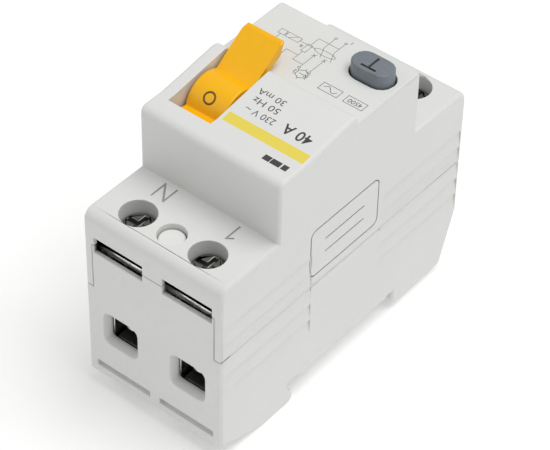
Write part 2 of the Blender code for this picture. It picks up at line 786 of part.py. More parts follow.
def rail_latch(material):
    low, high = LATCH_LOW_Z, LATCH_HIGH_Z
    side = [
        (LATCH_TIP_Y, high),
        (LATCH_TIP_Y, high - 0.4),
        (LATCH_TIP_Y + 1.6, low),
        (LATCH_END_Y - 0.5, low),
        (LATCH_END_Y, low + 0.5),
        (LATCH_END_Y, high),
        (LUG_Y + 0.5, high),
        (LUG_Y + 0.5, LUG_TOP_Z),
        (LUG_Y - 0.5, LUG_TOP_Z),
        (LUG_Y - 0.5, high),
    ]
    shape = bmesh.new()
    add_prism(shape, "x", side, -LATCH_HALF_X, LATCH_HALF_X)
    latch = piece("rail_latch", shape, material, (0, LATCH_TIP_Y, high))
    trims = bmesh.new()
    for edge in (-1, 1):
        across = sorted((edge * 1.0, edge * (LATCH_HALF_X + OVERSHOOT)))
        add_box(trims, (across[0], LUG_Y - OVERSHOOT, high), (across[1], LUG_Y + OVERSHOOT, LUG_TOP_Z + OVERSHOOT))
        across = sorted((edge * 4.4, edge * (LATCH_HALF_X + OVERSHOOT)))
        add_box(trims, (across[0], FAR_CHAMFER_Y, low - OVERSHOOT), (across[1], LATCH_END_Y + OVERSHOOT, high + OVERSHOOT))
    add_box(trims, (-1.6, LATCH_END_Y - 2.2, low - OVERSHOOT), (1.6, LATCH_END_Y - 0.9, high + OVERSHOOT))
    return cut(latch, trims)


def latch_spring(material):
    points = coil_points("y", (0, (LATCH_HIGH_Z + LUG_TOP_Z) / 2 + 0.1), 0.65, LUG_Y + 1.0, SPRING_ROOM_END_Y - 0.4, 6, 8)
    return wire("latch_spring", points, 0.2, material)


# ---------------------------------------------------------------- terminals


def terminal_box(name, x, end, material):
    shape = bmesh.new()
    far = HALF_LENGTH - END_WALL - GAP
    span = sorted((end * far, end * (far - BOX_LENGTH)))
    add_prism(shape, "y", rectangle(x - BOX_HALF_X, BOX_LOW_Z, x + BOX_HALF_X, BOX_HIGH_Z), span[0], span[1])
    box = piece(name, shape, material, (x, end * TERMINAL_Y, BOX_LOW_Z))
    window = bmesh.new()
    inner = rectangle(
        x - BOX_HALF_X + BOX_WALL, BOX_LOW_Z + BOX_WALL, x + BOX_HALF_X - BOX_WALL, BOX_HIGH_Z - BOX_TOP_PLATE
    )
    add_prism(window, "y", inner, span[0] - OVERSHOOT, span[1] + OVERSHOOT)
    cut(box, window)
    hole = bmesh.new()
    centre = (x, end * TERMINAL_Y)
    add_cylinder(hole, "z", centre, SCREW_RADIUS + GAP, BOX_HIGH_Z - BOX_TOP_PLATE - 0.5, BOX_HIGH_Z + 0.5, 16)
    cut(box, hole)
    lip = bmesh.new()
    span = sorted((end * (far - OVERSHOOT), end * (HALF_LENGTH - SLOT_WALL - RUNNING)))
    low, high = (x - BOX_LIP_HALF_X, span[0], BOX_HIGH_Z - BOX_TOP_PLATE), (x + BOX_LIP_HALF_X, span[1], BOX_HIGH_Z)
    add_box(lip, low, high)
    return join(box, lip)


def terminal_screw(name, x, end, material):
    shape = bmesh.new()
    profile = [
        (SCREW_RADIUS - 0.4, SCREW_TIP_Z),
        (SCREW_RADIUS, SCREW_TIP_Z + 0.5),
        (SCREW_RADIUS, SCREW_HEAD_LOW_Z),
        (SCREW_HEAD_RADIUS, SCREW_HEAD_LOW_Z),
        (SCREW_HEAD_RADIUS, SCREW_HEAD_HIGH_Z - 0.4),
        (SCREW_HEAD_RADIUS - 0.4, SCREW_HEAD_HIGH_Z),
    ]
    add_turned(shape, "z", (x, end * TERMINAL_Y), profile, 20)
    screw = piece(name, shape, material, (x, end * TERMINAL_Y, SCREW_TIP_Z))
    return cross_slot(screw, (x, end * TERMINAL_Y), SCREW_HEAD_HIGH_Z, SCREW_SLOT, 5.4, SCREW_SLOT_DEPTH)


def pressure_foot(name, x, end, material):
    shape = bmesh.new()
    top = SCREW_TIP_Z - GAP
    low = top - FOOT_THICK
    profile = [(FOOT_RADIUS - 0.6, low), (FOOT_RADIUS, low + 0.4), (FOOT_RADIUS, top)]
    add_turned(shape, "z", (x, end * TERMINAL_Y), profile, 20)
    return piece(name, shape, material, (x, end * TERMINAL_Y, low))


def terminal_strap(name, x, end, high_z, inner_y, contact_y, material):
    """Copper strap on the box's floor, stepped up to the level of its inner end."""
    low_z = BOX_LOW_Z + BOX_WALL + GAP + STRAP_THICK / 2
    outer = HALF_LENGTH - END_WALL - 2 * GAP
    rise = outer - BOX_LENGTH - 2.0
    path = [(outer, low_z), (rise, low_z), (rise - 1.2, high_z + STRAP_THICK / 2), (inner_y, high_z + STRAP_THICK / 2)]
    shape = bmesh.new()
    outline = strip([(end * y, z) for y, z in path], STRAP_THICK)
    add_prism(shape, "x", outline, x - STRAP_HALF_X, x + STRAP_HALF_X)
    strap = piece(name, shape, material, (x, end * outer, low_z))
    if contact_y is None:
        return strap
    pad = bmesh.new()
    top = high_z + STRAP_THICK
    add_cylinder(pad, "z", (x, contact_y), CONTACT_RADIUS, top - STRAP_THICK / 2, top + PAD_HEIGHT, 16)
    return join(strap, pad)


def middle_strap(name, x, material):
    shape = bmesh.new()
    low = (x - STRAP_HALF_X, CONTACT_FAR_Y - CONTACT_RADIUS - 0.4, FIXED_STRAP_Z)
    add_box(shape, low, (x + STRAP_HALF_X, MID_STRAP_END_Y, FIXED_STRAP_Z + STRAP_THICK))
    strap = piece(name, shape, material, (x, CONTACT_FAR_Y, FIXED_STRAP_Z))
    pad = bmesh.new()
    top = FIXED_STRAP_Z + STRAP_THICK
    add_cylinder(pad, "z", (x, CONTACT_FAR_Y), CONTACT_RADIUS, top - STRAP_THICK / 2, top + PAD_HEIGHT, 16)
    return join(strap, pad)


# ---------------------------------------------------------------- toggle and contacts


def crank_end(turn):
    """Where the crank's eye stands when the toggle has turned this many degrees."""
    angle = math.radians(CRANK_ANGLE + turn)
    return (PIVOT_Y + CRANK_RADIUS * math.cos(angle), PIVOT_Z + CRANK_RADIUS * math.sin(angle))


def link_length():
    """From the eye at rest to the foot, which hangs below the sweep of the skirt."""
    eye = crank_end(0)
    return math.hypot(LINK_FOOT_Y - eye[0], PIVOT_Z - SKIRT_RADIUS - FORK_DROP - eye[1])


def link_foot_z(turn):
    eye = crank_end(turn)
    return eye[1] - math.sqrt(link_length() ** 2 - (LINK_FOOT_Y - eye[0]) ** 2)


def carrier_travel():
    return link_foot_z(0) - link_foot_z(TRAVEL_ANGLE)


def bar_rest_z():
    """Underside of the moving bars when the device is off."""
    fixed_top = FIXED_STRAP_Z + STRAP_THICK + PAD_HEIGHT
    return fixed_top + GAP + carrier_travel() + PAD_HEIGHT


def toggle_handle(material):
    """Drum with a lever and a wider skirt opposite it, about the pivot."""
    skirt_start = 180 - SKIRT_HALF_ANGLE
    outline = [(LEVER_REACH - 1.4, LEVER_UPPER - 0.2)]
    outline += [(DRUM_RADIUS * 0.98, LEVER_UPPER)]
    start = math.degrees(math.asin(LEVER_UPPER / DRUM_RADIUS)) + 2
    outline += arc((0, 0), DRUM_RADIUS, start, skirt_start, 12)
    outline += arc((0, 0), SKIRT_RADIUS, skirt_start, 360 - skirt_start, 12)
    end = 360 - math.degrees(math.asin(LEVER_LOWER / DRUM_RADIUS)) - 2
    outline += arc((0, 0), DRUM_RADIUS, 360 - skirt_start, end, 12)
    outline += [(11.9, -LEVER_LOWER - 0.1), (14.4, -LEVER_LOWER - 0.6), (LEVER_REACH, LEVER_UPPER - 1.0)]
    shape = bmesh.new()
    body = turned_about(outline, (PIVOT_Y, PIVOT_Z), LEVER_ANGLE)
    add_prism(shape, "x", body, TOGGLE_LOW_X, TOGGLE_HIGH_X)
    toggle = piece("toggle_handle", shape, material, (0, PIVOT_Y, PIVOT_Z))

    bores = bmesh.new()
    add_cylinder(
        bores, "x", (PIVOT_Y, PIVOT_Z), PIN_RADIUS + RUNNING, TOGGLE_LOW_X - OVERSHOOT, TOGGLE_HIGH_X + OVERSHOOT, 16
    )
    add_cylinder(
        bores, "x", crank_end(0), LINK_PIN_RADIUS + RUNNING, LINK_X - LINK_PIN_HALF - GAP, LINK_X + LINK_PIN_HALF + GAP, 12
    )
    cut(toggle, bores)

    slot = bmesh.new()
    first, last = LINK_SLOT_START, 180 + SKIRT_HALF_ANGLE + 4
    sector = arc((0, 0), SKIRT_RADIUS + OVERSHOOT, first, last, 12)
    sector += arc((0, 0), PIN_RADIUS + 3.0, last, first, 12)
    half = LINK_THICK / 2 + RUNNING
    add_prism(slot, "x", turned_about(sector, (PIVOT_Y, PIVOT_Z), LEVER_ANGLE), LINK_X - half, LINK_X + half)
    return cut(toggle, slot)


def toggle_pin(material):
    shape = bmesh.new()
    add_cylinder(shape, "x", (PIVOT_Y, PIVOT_Z), PIN_RADIUS, POCKET_LOW_X - 1.7, POCKET_HIGH_X + SHROUD_WALL + 0.5, 16)
    return piece("toggle_pin", shape, material, (0, PIVOT_Y, PIVOT_Z))


def drive_link(material):
    """Flat link with a cross pin in the toggle's crank eye; its foot stays free in the carrier's fork."""
    eye = crank_end(0)
    foot = (LINK_FOOT_Y, link_foot_z(0))
    direction = math.degrees(math.atan2(foot[1] - eye[1], foot[0] - eye[0]))
    bar = arc((link_length(), 0), LINK_HALF, -90, 90, 6) + arc((0, 0), LINK_HALF, 90, 270, 6)
    shape = bmesh.new()
    add_prism(shape, "x", turned_about(bar, eye, direction), LINK_X - LINK_THICK / 2, LINK_X + LINK_THICK / 2)
    link = piece("drive_link", shape, material, (LINK_X, *eye))
    pin = bmesh.new()
    add_cylinder(pin, "x", eye, LINK_PIN_RADIUS, LINK_X - LINK_PIN_HALF, LINK_X + LINK_PIN_HALF, 12)
    return join(link, pin)


def contact_carrier(material):
    """Insulating crossbar that holds both moving bars and their springs, with a fork for the link."""
    low = bar_rest_z() - 1.9
    high = low + CARRIER_TOP + 3.0
    shape = bmesh.new()
    y_low, y_high = LINK_FOOT_Y - CARRIER_HALF_Y, LINK_FOOT_Y + CARRIER_HALF_Y
    add_box(shape, (-CARRIER_HALF_X, y_low, low), (CARRIER_HALF_X, y_high, high))
    carrier = piece("contact_carrier", shape, material, (0, LINK_FOOT_Y, low))

    post = bmesh.new()
    fork = link_foot_z(0)
    add_box(post, (LINK_X - 2.7, LINK_FOOT_Y - 1.6, high - OVERSHOOT), (LINK_X + 2.7, LINK_FOOT_Y + 1.6, fork + 1.2))
    join(carrier, post)

    windows = bmesh.new()
    half = LINK_THICK / 2 + RUNNING
    add_box(
        windows,
        (LINK_X - half, LINK_FOOT_Y - 3.0, fork - LINK_HALF - 3.2),
        (LINK_X + half, LINK_FOOT_Y + 3.0, fork + 3.0),
    )
    for x in (-TERMINAL_X, TERMINAL_X):
        add_box(
            windows,
            (x - BAR_HALF_X - GAP, y_low - OVERSHOOT, low + 1.9 - GAP),
            (x + BAR_HALF_X + GAP, y_high + OVERSHOOT, low + CARRIER_TOP),
        )
    return cut(carrier, windows)


def moving_contact(name, x, material):
    low = bar_rest_z()
    shape = bmesh.new()
    near = CONTACT_NEAR_Y - BAR_OVERHANG
    far = CONTACT_FAR_Y + BAR_OVERHANG
    add_box(shape, (x - BAR_HALF_X, near, low), (x + BAR_HALF_X, far, low + BAR_THICK))
    bar = piece(name, shape, material, (x, LINK_FOOT_Y, low))
    pads = bmesh.new()
    for y in (CONTACT_NEAR_Y, CONTACT_FAR_Y):
        add_cylinder(pads, "z", (x, y), CONTACT_RADIUS, low - PAD_HEIGHT, low + BAR_THICK / 2, 16)
    return join(bar, pads)


def contact_spring(name, x, material):
    low = bar_rest_z() + BAR_THICK + 0.55
    high = bar_rest_z() - 1.9 + CARRIER_TOP - 0.55
    return wire(name, coil_points("z", (x, LINK_FOOT_Y), 1.6, low, high, 3), 0.22, material)


def toggle_spring(material):
    """Torsion spring on the pin beside the shroud, with two straight legs."""
    start_x = POCKET_HIGH_X + SHROUD_WALL + 0.6
    turns = coil_points("x", (PIVOT_Y, PIVOT_Z), 1.75, start_x, start_x + 1.6, 3.0, 10)
    leg = (start_x, PIVOT_Y + 1.75, PIVOT_Z - 4.0)
    tail = (start_x + 1.6, PIVOT_Y + 1.75, PIVOT_Z + 2.2)
    return wire("toggle_spring", [leg, *turns, tail], 0.2, material)


def status_flag(material):
    high = CEILING_Z - 0.5
    shape = bmesh.new()
    low_x, high_x = WINDOW_LOW_X - 1.0, WINDOW_HIGH_X + 0.8
    add_box(shape, (low_x, FLAG_NEAR_Y, high - FLAG_THICK), (high_x, FLAG_FAR_Y, high))
    return piece("status_flag", shape, material, (low_x, FLAG_NEAR_Y, high - FLAG_THICK))


# ---------------------------------------------------------------- trip relay


def relay_frame(material):
    low = RELAY_Z - BOBBIN_FLANGE - 0.4 - RELAY_PLATE
    high = RELAY_Z + BOBBIN_FLANGE
    near, far, t = RELAY_NEAR_Y, RELAY_FAR_Y, RELAY_PLATE
    outline = [
        (near, low), (far, low), (far, high), (far - t, high),
        (far - t, low + t), (near + t, low + t), (near + t, high), (near, high),
    ]
    shape = bmesh.new()
    add_prism(shape, "x", outline, RELAY_X - RELAY_HALF_X, RELAY_X + RELAY_HALF_X)
    frame = piece("relay_frame", shape, material, (RELAY_X, near, low))
    bore = bmesh.new()
    add_cylinder(bore, "y", (RELAY_X, RELAY_Z), PLUNGER_RADIUS + RUNNING, far - t - 0.5, far + 0.5, 16)
    return cut(frame, bore)


def relay_bobbin(material):
    near = RELAY_NEAR_Y + RELAY_PLATE + GAP
    far = RELAY_FAR_Y - RELAY_PLATE - GAP
    profile = [
        (BOBBIN_BORE, near), (BOBBIN_FLANGE, near), (BOBBIN_FLANGE, near + 0.8), (BOBBIN_BARREL, near + 0.8),
        (BOBBIN_BARREL, far - 0.8), (BOBBIN_FLANGE, far - 0.8), (BOBBIN_FLANGE, far), (BOBBIN_BORE, far),
    ]
    shape = bmesh.new()
    add_ring(shape, "y", (RELAY_X, RELAY_Z), profile, 20)
    return piece("relay_bobbin", shape, material, (RELAY_X, near, RELAY_Z))


def relay_winding(material):
    near = RELAY_NEAR_Y + RELAY_PLATE + 2 * GAP + 0.8
    far = RELAY_FAR_Y - RELAY_PLATE - 2 * GAP - 0.8
    inner = BOBBIN_BARREL + GAP
    shape = bmesh.new()
    profile = [(inner, near), (WINDING_RADIUS, near), (WINDING_RADIUS, far), (inner, far)]
    add_ring(shape, "y", (RELAY_X, RELAY_Z), profile, 20)
    return piece("relay_winding", shape, material, (RELAY_X, near, RELAY_Z))


def trip_plunger(material):
    start = RELAY_NEAR_Y + RELAY_PLATE + 1.6
    tip = PLUNGER_TIP_Y
    collar = tip - PLUNGER_NOSE_LENGTH
    profile = [
        (PLUNGER_RADIUS, start), (PLUNGER_RADIUS, collar - 0.8), (PLUNGER_HEAD, collar - 0.8),
        (PLUNGER_HEAD, collar), (PLUNGER_NOSE, collar), (PLUNGER_NOSE, tip),
    ]
    shape = bmesh.new()
    add_turned(shape, "y", (RELAY_X, RELAY_Z), profile, 16)
    return piece("trip_plunger", shape, material, (RELAY_X, tip, RELAY_Z))


def plunger_spring(material):
    low, high = RELAY_FAR_Y + 0.5, PLUNGER_TIP_Y - PLUNGER_NOSE_LENGTH - 1.3
    return wire("plunger_spring", coil_points("y", (RELAY_X, RELAY_Z), 1.75, low, high, 2.5), 0.2, material)


def trip_lever(material):
    hub = LEVER_PIVOT_Y, LEVER_PIVOT_Z
    near = PLUNGER_TIP_Y + GAP
    outline = [(near, RELAY_Z - 2.2), (near + 1.3, RELAY_Z - 2.2), (near + 1.3, hub[1] - 1.5)]
    outline += arc(hub, 2.0, -70, 110, 8)
    outline += [(near - 0.6, hub[1] + 3.2), (near - 0.6, hub[1] + 1.8), (near, hub[1] - 1.0)]
    shape = bmesh.new()
    add_prism(shape, "x", outline, RELAY_X - 2.5, RELAY_X + 2.5)
    lever = piece("trip_lever", shape, material, (RELAY_X, *hub))
    bore = bmesh.new()
    add_cylinder(bore, "x", hub, TRIP_PIN_RADIUS + RUNNING, RELAY_X - 3.5, RELAY_X + 3.5, 12)
    return cut(lever, bore)


def trip_pin(material):
    shape = bmesh.new()
    reach = RELAY_HALF_X + PLATE_MARGIN + PLATE_THICK + 0.6
    add_cylinder(shape, "x", (LEVER_PIVOT_Y, LEVER_PIVOT_Z), TRIP_PIN_RADIUS, RELAY_X - reach, RELAY_X + reach, 12)
    return piece("trip_pin", shape, material, (RELAY_X - reach, LEVER_PIVOT_Y, LEVER_PIVOT_Z))


def side_plate(name, low_x, material):
    near, far = -NOSE_HALF + WALL + GAP, STEP_FOOT_Y + 1.0
    outline = [
        (near, PLATE_LOW_Z), (far, PLATE_LOW_Z + 4.0), (far, PLATE_HIGH_Z - 2.0), (far - 2.0, PLATE_HIGH_Z),
        (near, PLATE_HIGH_Z),
    ]
    shape = bmesh.new()
    add_prism(shape, "x", outline, low_x, low_x + PLATE_THICK)
    plate = piece(name, shape, material, (low_x, near, PLATE_LOW_Z))
    bore = bmesh.new()
    centre = (LEVER_PIVOT_Y, LEVER_PIVOT_Z)
    add_cylinder(bore, "x", centre, TRIP_PIN_RADIUS + RUNNING, low_x - 0.5, low_x + PLATE_THICK + 0.5, 12)
    return cut(plate, bore)


# ---------------------------------------------------------------- current transformer


def toroid_core(material):
    a, b, c = CORE_HALF_R, CORE_HALF_Y, CORE_CHAMFER
    section = [(a - c, -b), (a, -b + c), (a, b - c), (a - c, b), (-a + c, b), (-a, b - c), (-a, -b + c), (-a + c, -b)]
    profile = [(TOROID_RADIUS + r, TOROID_Y + y) for r, y in section]
    shape = bmesh.new()
    add_ring(shape, "y", (0, TOROID_Z), profile, 24)
    return piece("toroid_core", shape, material, (0, TOROID_Y, TOROID_Z))


def secondary_winding(material):
    per_turn = 10
    points = []
    for i in range(WINDING_TURNS * per_turn + 1):
        around = math.radians(120 + 300 * i / (WINDING_TURNS * per_turn))
        section = 2 * math.pi * i / per_turn
        radius = TOROID_RADIUS + WINDING_HALF_R * math.cos(section)
        y = TOROID_Y + WINDING_HALF_Y * math.sin(section)
        points.append((radius * math.cos(around), y, TOROID_Z + radius * math.sin(around)))
    return wire("secondary_winding", points, 0.28, material)


def primary_conductor(name, side, material):
    """Insulated wire from a contact through the core to the load terminal."""
    start = (TERMINAL_X, MID_STRAP_END_Y + GAP, FIXED_STRAP_Z + STRAP_THICK / 2)
    half = WINDING_HALF_Y + 0.3
    end = (TERMINAL_X, LOAD_STRAP_END_Y - GAP, LOAD_STRAP_Z + STRAP_THICK / 2)
    points = []
    steps = 7
    for first, last in ((start, (CONDUCTOR_X, TOROID_Y - half, TOROID_Z)), ((CONDUCTOR_X, TOROID_Y + half, TOROID_Z), end)):
        for i in range(steps + 1):
            t = i / steps
            blend = t * t * (3 - 2 * t)
            x = first[0] + (last[0] - first[0]) * blend
            y = first[1] + (last[1] - first[1]) * t
            z = first[2] + (last[2] - first[2]) * blend
            points.append((side * x, y, z))
    points.insert(1, (points[0][0], points[0][1] + 0.5, points[0][2]))
    points.insert(-1, (points[-1][0], points[-1][1] - 0.5, points[-1][2]))
    return wire(name, points, CONDUCTOR_RADIUS, material, 2)


# ---------------------------------------------------------------- electronics


def on_board(name, shape, x, y, material):
    return piece(name, shape, material, (x, y, BOARD_Z + BOARD_THICK))


def circuit_board(material):
    shape = bmesh.new()
    low = (-BOARD_HALF_X, BOARD_NEAR_Y, BOARD_Z)
    add_box(shape, low, (BOARD_HALF_X, BOARD_FAR_Y, BOARD_Z + BOARD_THICK))
    return piece("circuit_board", shape, material, low)


def electronics(finishes):
    top = BOARD_Z + BOARD_THICK + GAP
    shape = bmesh.new()
    add_turned(shape, "z", (-10.5, 11.0), [(3.5, top), (3.5, top + 9.0), (3.1, top + 9.4)], 20)
    on_board("capacitor", shape, -10.5, 11.0, finishes["capacitor"])

    shape = bmesh.new()
    add_prism(shape, "z", arc((-2.5, 16.0), 2.3, -40, 220, 12), top, top + 4.6)
    on_board("thyristor", shape, -2.5, 16.0, finishes["black"])

    shape = bmesh.new()
    add_cylinder(shape, "y", (-1.5, top + 3.6), 3.6, 7.7, 10.3, 20)
    on_board("varistor", shape, -1.5, 9.0, finishes["blue"])

    for name, low_x, high_x, y, radius in (("gate_resistor", -13.5, -7.5, 17.6, 1.1), ("test_resistor", 4.0, 13.0, 8.3, 1.6)):
        shape = bmesh.new()
        z = top + radius
        profile = [(radius * 0.7, low_x), (radius, low_x + 0.5), (radius, high_x - 0.5), (radius * 0.7, high_x)]
        add_turned(shape, "x", (y, z), profile, 12)
        on_board(name, shape, low_x, y, finishes["resistor"])


# ---------------------------------------------------------------- test button


def test_button(material):
    centre = (BUTTON_X, BUTTON_Y)
    flange = stadium(centre, BUTTON_HALF_STRAIGHT - FLANGE_EXTRA, BUTTON_RADIUS + FLANGE_EXTRA)
    body = stadium(centre, BUTTON_HALF_STRAIGHT, BUTTON_RADIUS)
    crown = stadium(centre, BUTTON_HALF_STRAIGHT, BUTTON_RADIUS - 0.35)
    shape = bmesh.new()
    sections = [
        (flange, FLANGE_LOW_Z), (flange, FLANGE_HIGH_Z), (body, FLANGE_HIGH_Z),
        (body, BUTTON_TOP_Z - 0.35), (crown, BUTTON_TOP_Z),
    ]
    add_loft(shape, "z", sections)
    button = piece("test_button", shape, material, (BUTTON_X, BUTTON_Y, FLANGE_LOW_Z))
    stem = bmesh.new()
    add_cylinder(stem, "z", centre, STEM_RADIUS, STEM_TIP_Z, FLANGE_LOW_Z + 0.8, 12)
    return join(button, stem)


def button_spring(material):
    low = BRACKET_LOW_Z + BRACKET_THICK + 0.55
    high = FLANGE_LOW_Z - 0.55
    return wire("button_spring", coil_points("z", (BUTTON_X, BUTTON_Y), 2.3, low, high, 4), 0.25, material)


def test_bracket(material):
    shape = bmesh.new()
    low = (BUTTON_X - 5.0, BUTTON_Y - 4.6, BRACKET_LOW_Z)
    high = (HALF_X - WALL - GAP, NOSE_HALF - WALL - GAP, BRACKET_LOW_Z + BRACKET_THICK)
    add_box(shape, low, high)
    bracket = piece("test_bracket", shape, material, low)
    bore = bmesh.new()
    centre = (BUTTON_X, BUTTON_Y)
    add_cylinder(bore, "z", centre, STEM_RADIUS + RUNNING, BRACKET_LOW_Z - 0.5, BRACKET_LOW_Z + BRACKET_THICK + 0.5, 16)
    return cut(bracket, bore)


def test_blade(material):
    foot = BOARD_Z + BOARD_THICK + GAP
    path = [(18.9, foot), (18.9, foot + 3.4), (BUTTON_Y - 2.4, foot + 4.0)]
    shape = bmesh.new()
    add_prism(shape, "x", strip(path, 0.5), BUTTON_X - 1.5, BUTTON_X + 1.5)
    return piece("test_blade", shape, material, (BUTTON_X, 18.9, foot))


# ---------------------------------------------------------------- assembly


def clear_scene():
    for found in list(bpy.data.objects):
        bpy.data.objects.remove(found, do_unlink=True)


def make_finishes():
    return {
        "housing": finish("housing_plastic", (0.76, 0.765, 0.74), 0.45),
        "toggle": finish("amber_plastic", (1.0, 0.49, 0.0), 0.35),
        "button": finish("slate_plastic", (0.19, 0.215, 0.24), 0.45),
        "dark": finish("dark_plastic", (0.08, 0.08, 0.085), 0.5),
        "steel": finish("zinc_steel", (0.62, 0.63, 0.65), 0.3, 1.0),
        "nickel": finish("nickel_plate", (0.8, 0.79, 0.76), 0.25, 1.0),
        "dark_steel": finish("dark_steel", (0.22, 0.22, 0.21), 0.4, 1.0),
        "copper": finish("copper", (0.8, 0.42, 0.25), 0.3, 1.0),
        "ferrite": finish("ferrite", (0.09, 0.09, 0.1), 0.6),
        "board": finish("board_laminate", (0.05, 0.23, 0.1), 0.5),
        "flag": finish("flag_plastic", (0.05, 0.2, 0.1), 0.5),
        "blue": finish("blue_sleeve", (0.05, 0.16, 0.5), 0.5),
        "brown": finish("brown_sleeve", (0.25, 0.1, 0.04), 0.5),
        "black": finish("black_moulding", (0.03, 0.03, 0.03), 0.5),
        "capacitor": finish("capacitor_film", (0.55, 0.12, 0.05), 0.4),
        "resistor": finish("resistor_body", (0.6, 0.45, 0.3), 0.5),
    }


def build_terminals(finishes):
    for end, end_name in ((-1, "supply"), (1, "load")):
        for side, pole in ((-1, "n"), (1, "l")):
            x = side * TERMINAL_X
            tag = f"{end_name}_{pole}"
            terminal_box(f"terminal_box_{tag}", x, end, finishes["nickel"])
            terminal_screw(f"terminal_screw_{tag}", x, end, finishes["dark_steel"])
            pressure_foot(f"pressure_foot_{tag}", x, end, finishes["nickel"])
            if end < 0:
                reach = -CONTACT_NEAR_Y - CONTACT_RADIUS - 0.4
                terminal_strap(f"strap_{tag}", x, end, FIXED_STRAP_Z, reach, CONTACT_NEAR_Y, finishes["copper"])
            else:
                terminal_strap(f"strap_{tag}", x, end, LOAD_STRAP_Z, LOAD_STRAP_END_Y, None, finishes["copper"])


def build():
    clear_scene()
    finishes = make_finishes()
    front_cover(finishes["housing"])
    rear_base(finishes["housing"])
    for end, end_name in ((-1, "supply"), (1, "load")):
        plug(f"screw_plug_{end_name}", end, finishes["housing"])
        case_screw(f"case_screw_{end_name}", end, finishes["steel"])
    rail_latch(finishes["dark"])
    latch_spring(finishes["steel"])
    build_terminals(finishes)
    toggle_handle(finishes["toggle"])
    toggle_pin(finishes["steel"])
    toggle_spring(finishes["steel"])
    drive_link(finishes["steel"])
    contact_carrier(finishes["dark"])
    for side, pole in ((-1, "n"), (1, "l")):
        x = side * TERMINAL_X
        moving_contact(f"moving_contact_{pole}", x, finishes["copper"])
        contact_spring(f"contact_spring_{pole}", x, finishes["steel"])
        middle_strap(f"middle_strap_{pole}", x, finishes["copper"])
        primary_conductor(f"primary_conductor_{pole}", side, finishes["blue" if side < 0 else "brown"])
    status_flag(finishes["flag"])
    relay_frame(finishes["steel"])
    relay_bobbin(finishes["black"])
    relay_winding(finishes["copper"])
    trip_plunger(finishes["steel"])
    plunger_spring(finishes["steel"])
    trip_lever(finishes["dark"])
    trip_pin(finishes["steel"])
    reach = RELAY_HALF_X + PLATE_MARGIN
    side_plate("side_plate_inner", RELAY_X - reach - PLATE_THICK, finishes["steel"])
    side_plate("side_plate_outer", RELAY_X + reach, finishes["steel"])
    toroid_core(finishes["ferrite"])
    secondary_winding(finishes["copper"])
    circuit_board(finishes["board"])
    electronics(finishes)
    test_button(finishes["button"])
    button_spring(finishes["steel"])
    test_bracket(finishes["dark"])
    test_blade(finishes["copper"])


build()
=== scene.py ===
import json
import math

import bmesh
import bpy
from mathutils import Matrix, Vector


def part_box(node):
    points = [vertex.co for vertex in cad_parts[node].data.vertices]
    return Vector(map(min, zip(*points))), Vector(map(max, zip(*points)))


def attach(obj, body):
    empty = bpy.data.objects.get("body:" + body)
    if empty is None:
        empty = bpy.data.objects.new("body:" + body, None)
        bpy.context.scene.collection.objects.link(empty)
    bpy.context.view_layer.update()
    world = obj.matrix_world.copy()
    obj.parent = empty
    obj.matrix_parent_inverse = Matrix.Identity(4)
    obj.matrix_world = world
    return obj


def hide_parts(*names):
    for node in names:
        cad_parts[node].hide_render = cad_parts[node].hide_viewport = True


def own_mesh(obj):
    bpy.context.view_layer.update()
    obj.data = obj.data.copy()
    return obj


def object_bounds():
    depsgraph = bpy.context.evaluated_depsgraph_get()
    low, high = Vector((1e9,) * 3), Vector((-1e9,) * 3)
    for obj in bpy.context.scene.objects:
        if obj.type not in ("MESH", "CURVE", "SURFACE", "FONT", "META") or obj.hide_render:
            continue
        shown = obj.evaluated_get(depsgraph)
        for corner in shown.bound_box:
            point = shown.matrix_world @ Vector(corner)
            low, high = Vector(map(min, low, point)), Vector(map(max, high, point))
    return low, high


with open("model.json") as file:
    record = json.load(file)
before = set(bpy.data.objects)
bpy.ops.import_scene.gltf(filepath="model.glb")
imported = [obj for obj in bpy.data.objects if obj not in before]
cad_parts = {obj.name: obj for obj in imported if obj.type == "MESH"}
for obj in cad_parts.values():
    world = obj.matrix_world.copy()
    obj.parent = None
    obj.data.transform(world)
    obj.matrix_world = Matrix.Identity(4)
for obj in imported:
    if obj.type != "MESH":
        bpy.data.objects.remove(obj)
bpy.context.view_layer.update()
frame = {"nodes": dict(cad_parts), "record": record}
mm = 0.001

# directions of the device: poles sit at -X (neutral) and +X (line), supply end at -Y, load end at +Y
poles = {"n": -1, "l": 1}
ends = {"supply": -1, "load": 1}


def low(node):
    # lowest corner of a CAD node, in millimetres
    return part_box(node)[0] / mm


def high(node):
    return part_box(node)[1] / mm


def middle(node):
    return (low(node) + high(node)) / 2


# ---- shader node groups: each is built once and placed in the materials with its own values


def addNode(tree, kind, feeds=None, **settings):
    made = tree.nodes.new(kind)
    for key, value in settings.items():
        setattr(made, key, value)
    for key, value in (feeds or {}).items():
        socket = made.inputs[key]
        if isinstance(value, bpy.types.NodeSocket):
            tree.links.new(value, socket)
        else:
            socket.default_value = value
    return made


def startGroup(name, kind, inputs, outputs):
    tree = bpy.data.node_groups.new(name, kind)
    for label, socketType, value in inputs:
        socket = tree.interface.new_socket(label, in_out="INPUT", socket_type=socketType)
        if value is not None:
            socket.default_value = value
    for label, socketType in outputs:
        tree.interface.new_socket(label, in_out="OUTPUT", socket_type=socketType)
    return tree, tree.nodes.new("NodeGroupInput").outputs, tree.nodes.new("NodeGroupOutput").inputs


def calc(tree, operation, first, second=0.0, third=0.0):
    return addNode(tree, "ShaderNodeMath", {0: first, 1: second, 2: third}, operation=operation).outputs[0]


def remap(tree, value, fromLow, fromHigh, toLow=0.0, toHigh=1.0):
    feeds = {"Value": value, "From Min": fromLow, "From Max": fromHigh, "To Min": toLow, "To Max": toHigh}
    return addNode(tree, "ShaderNodeMapRange", feeds, clamp=True).outputs["Result"]


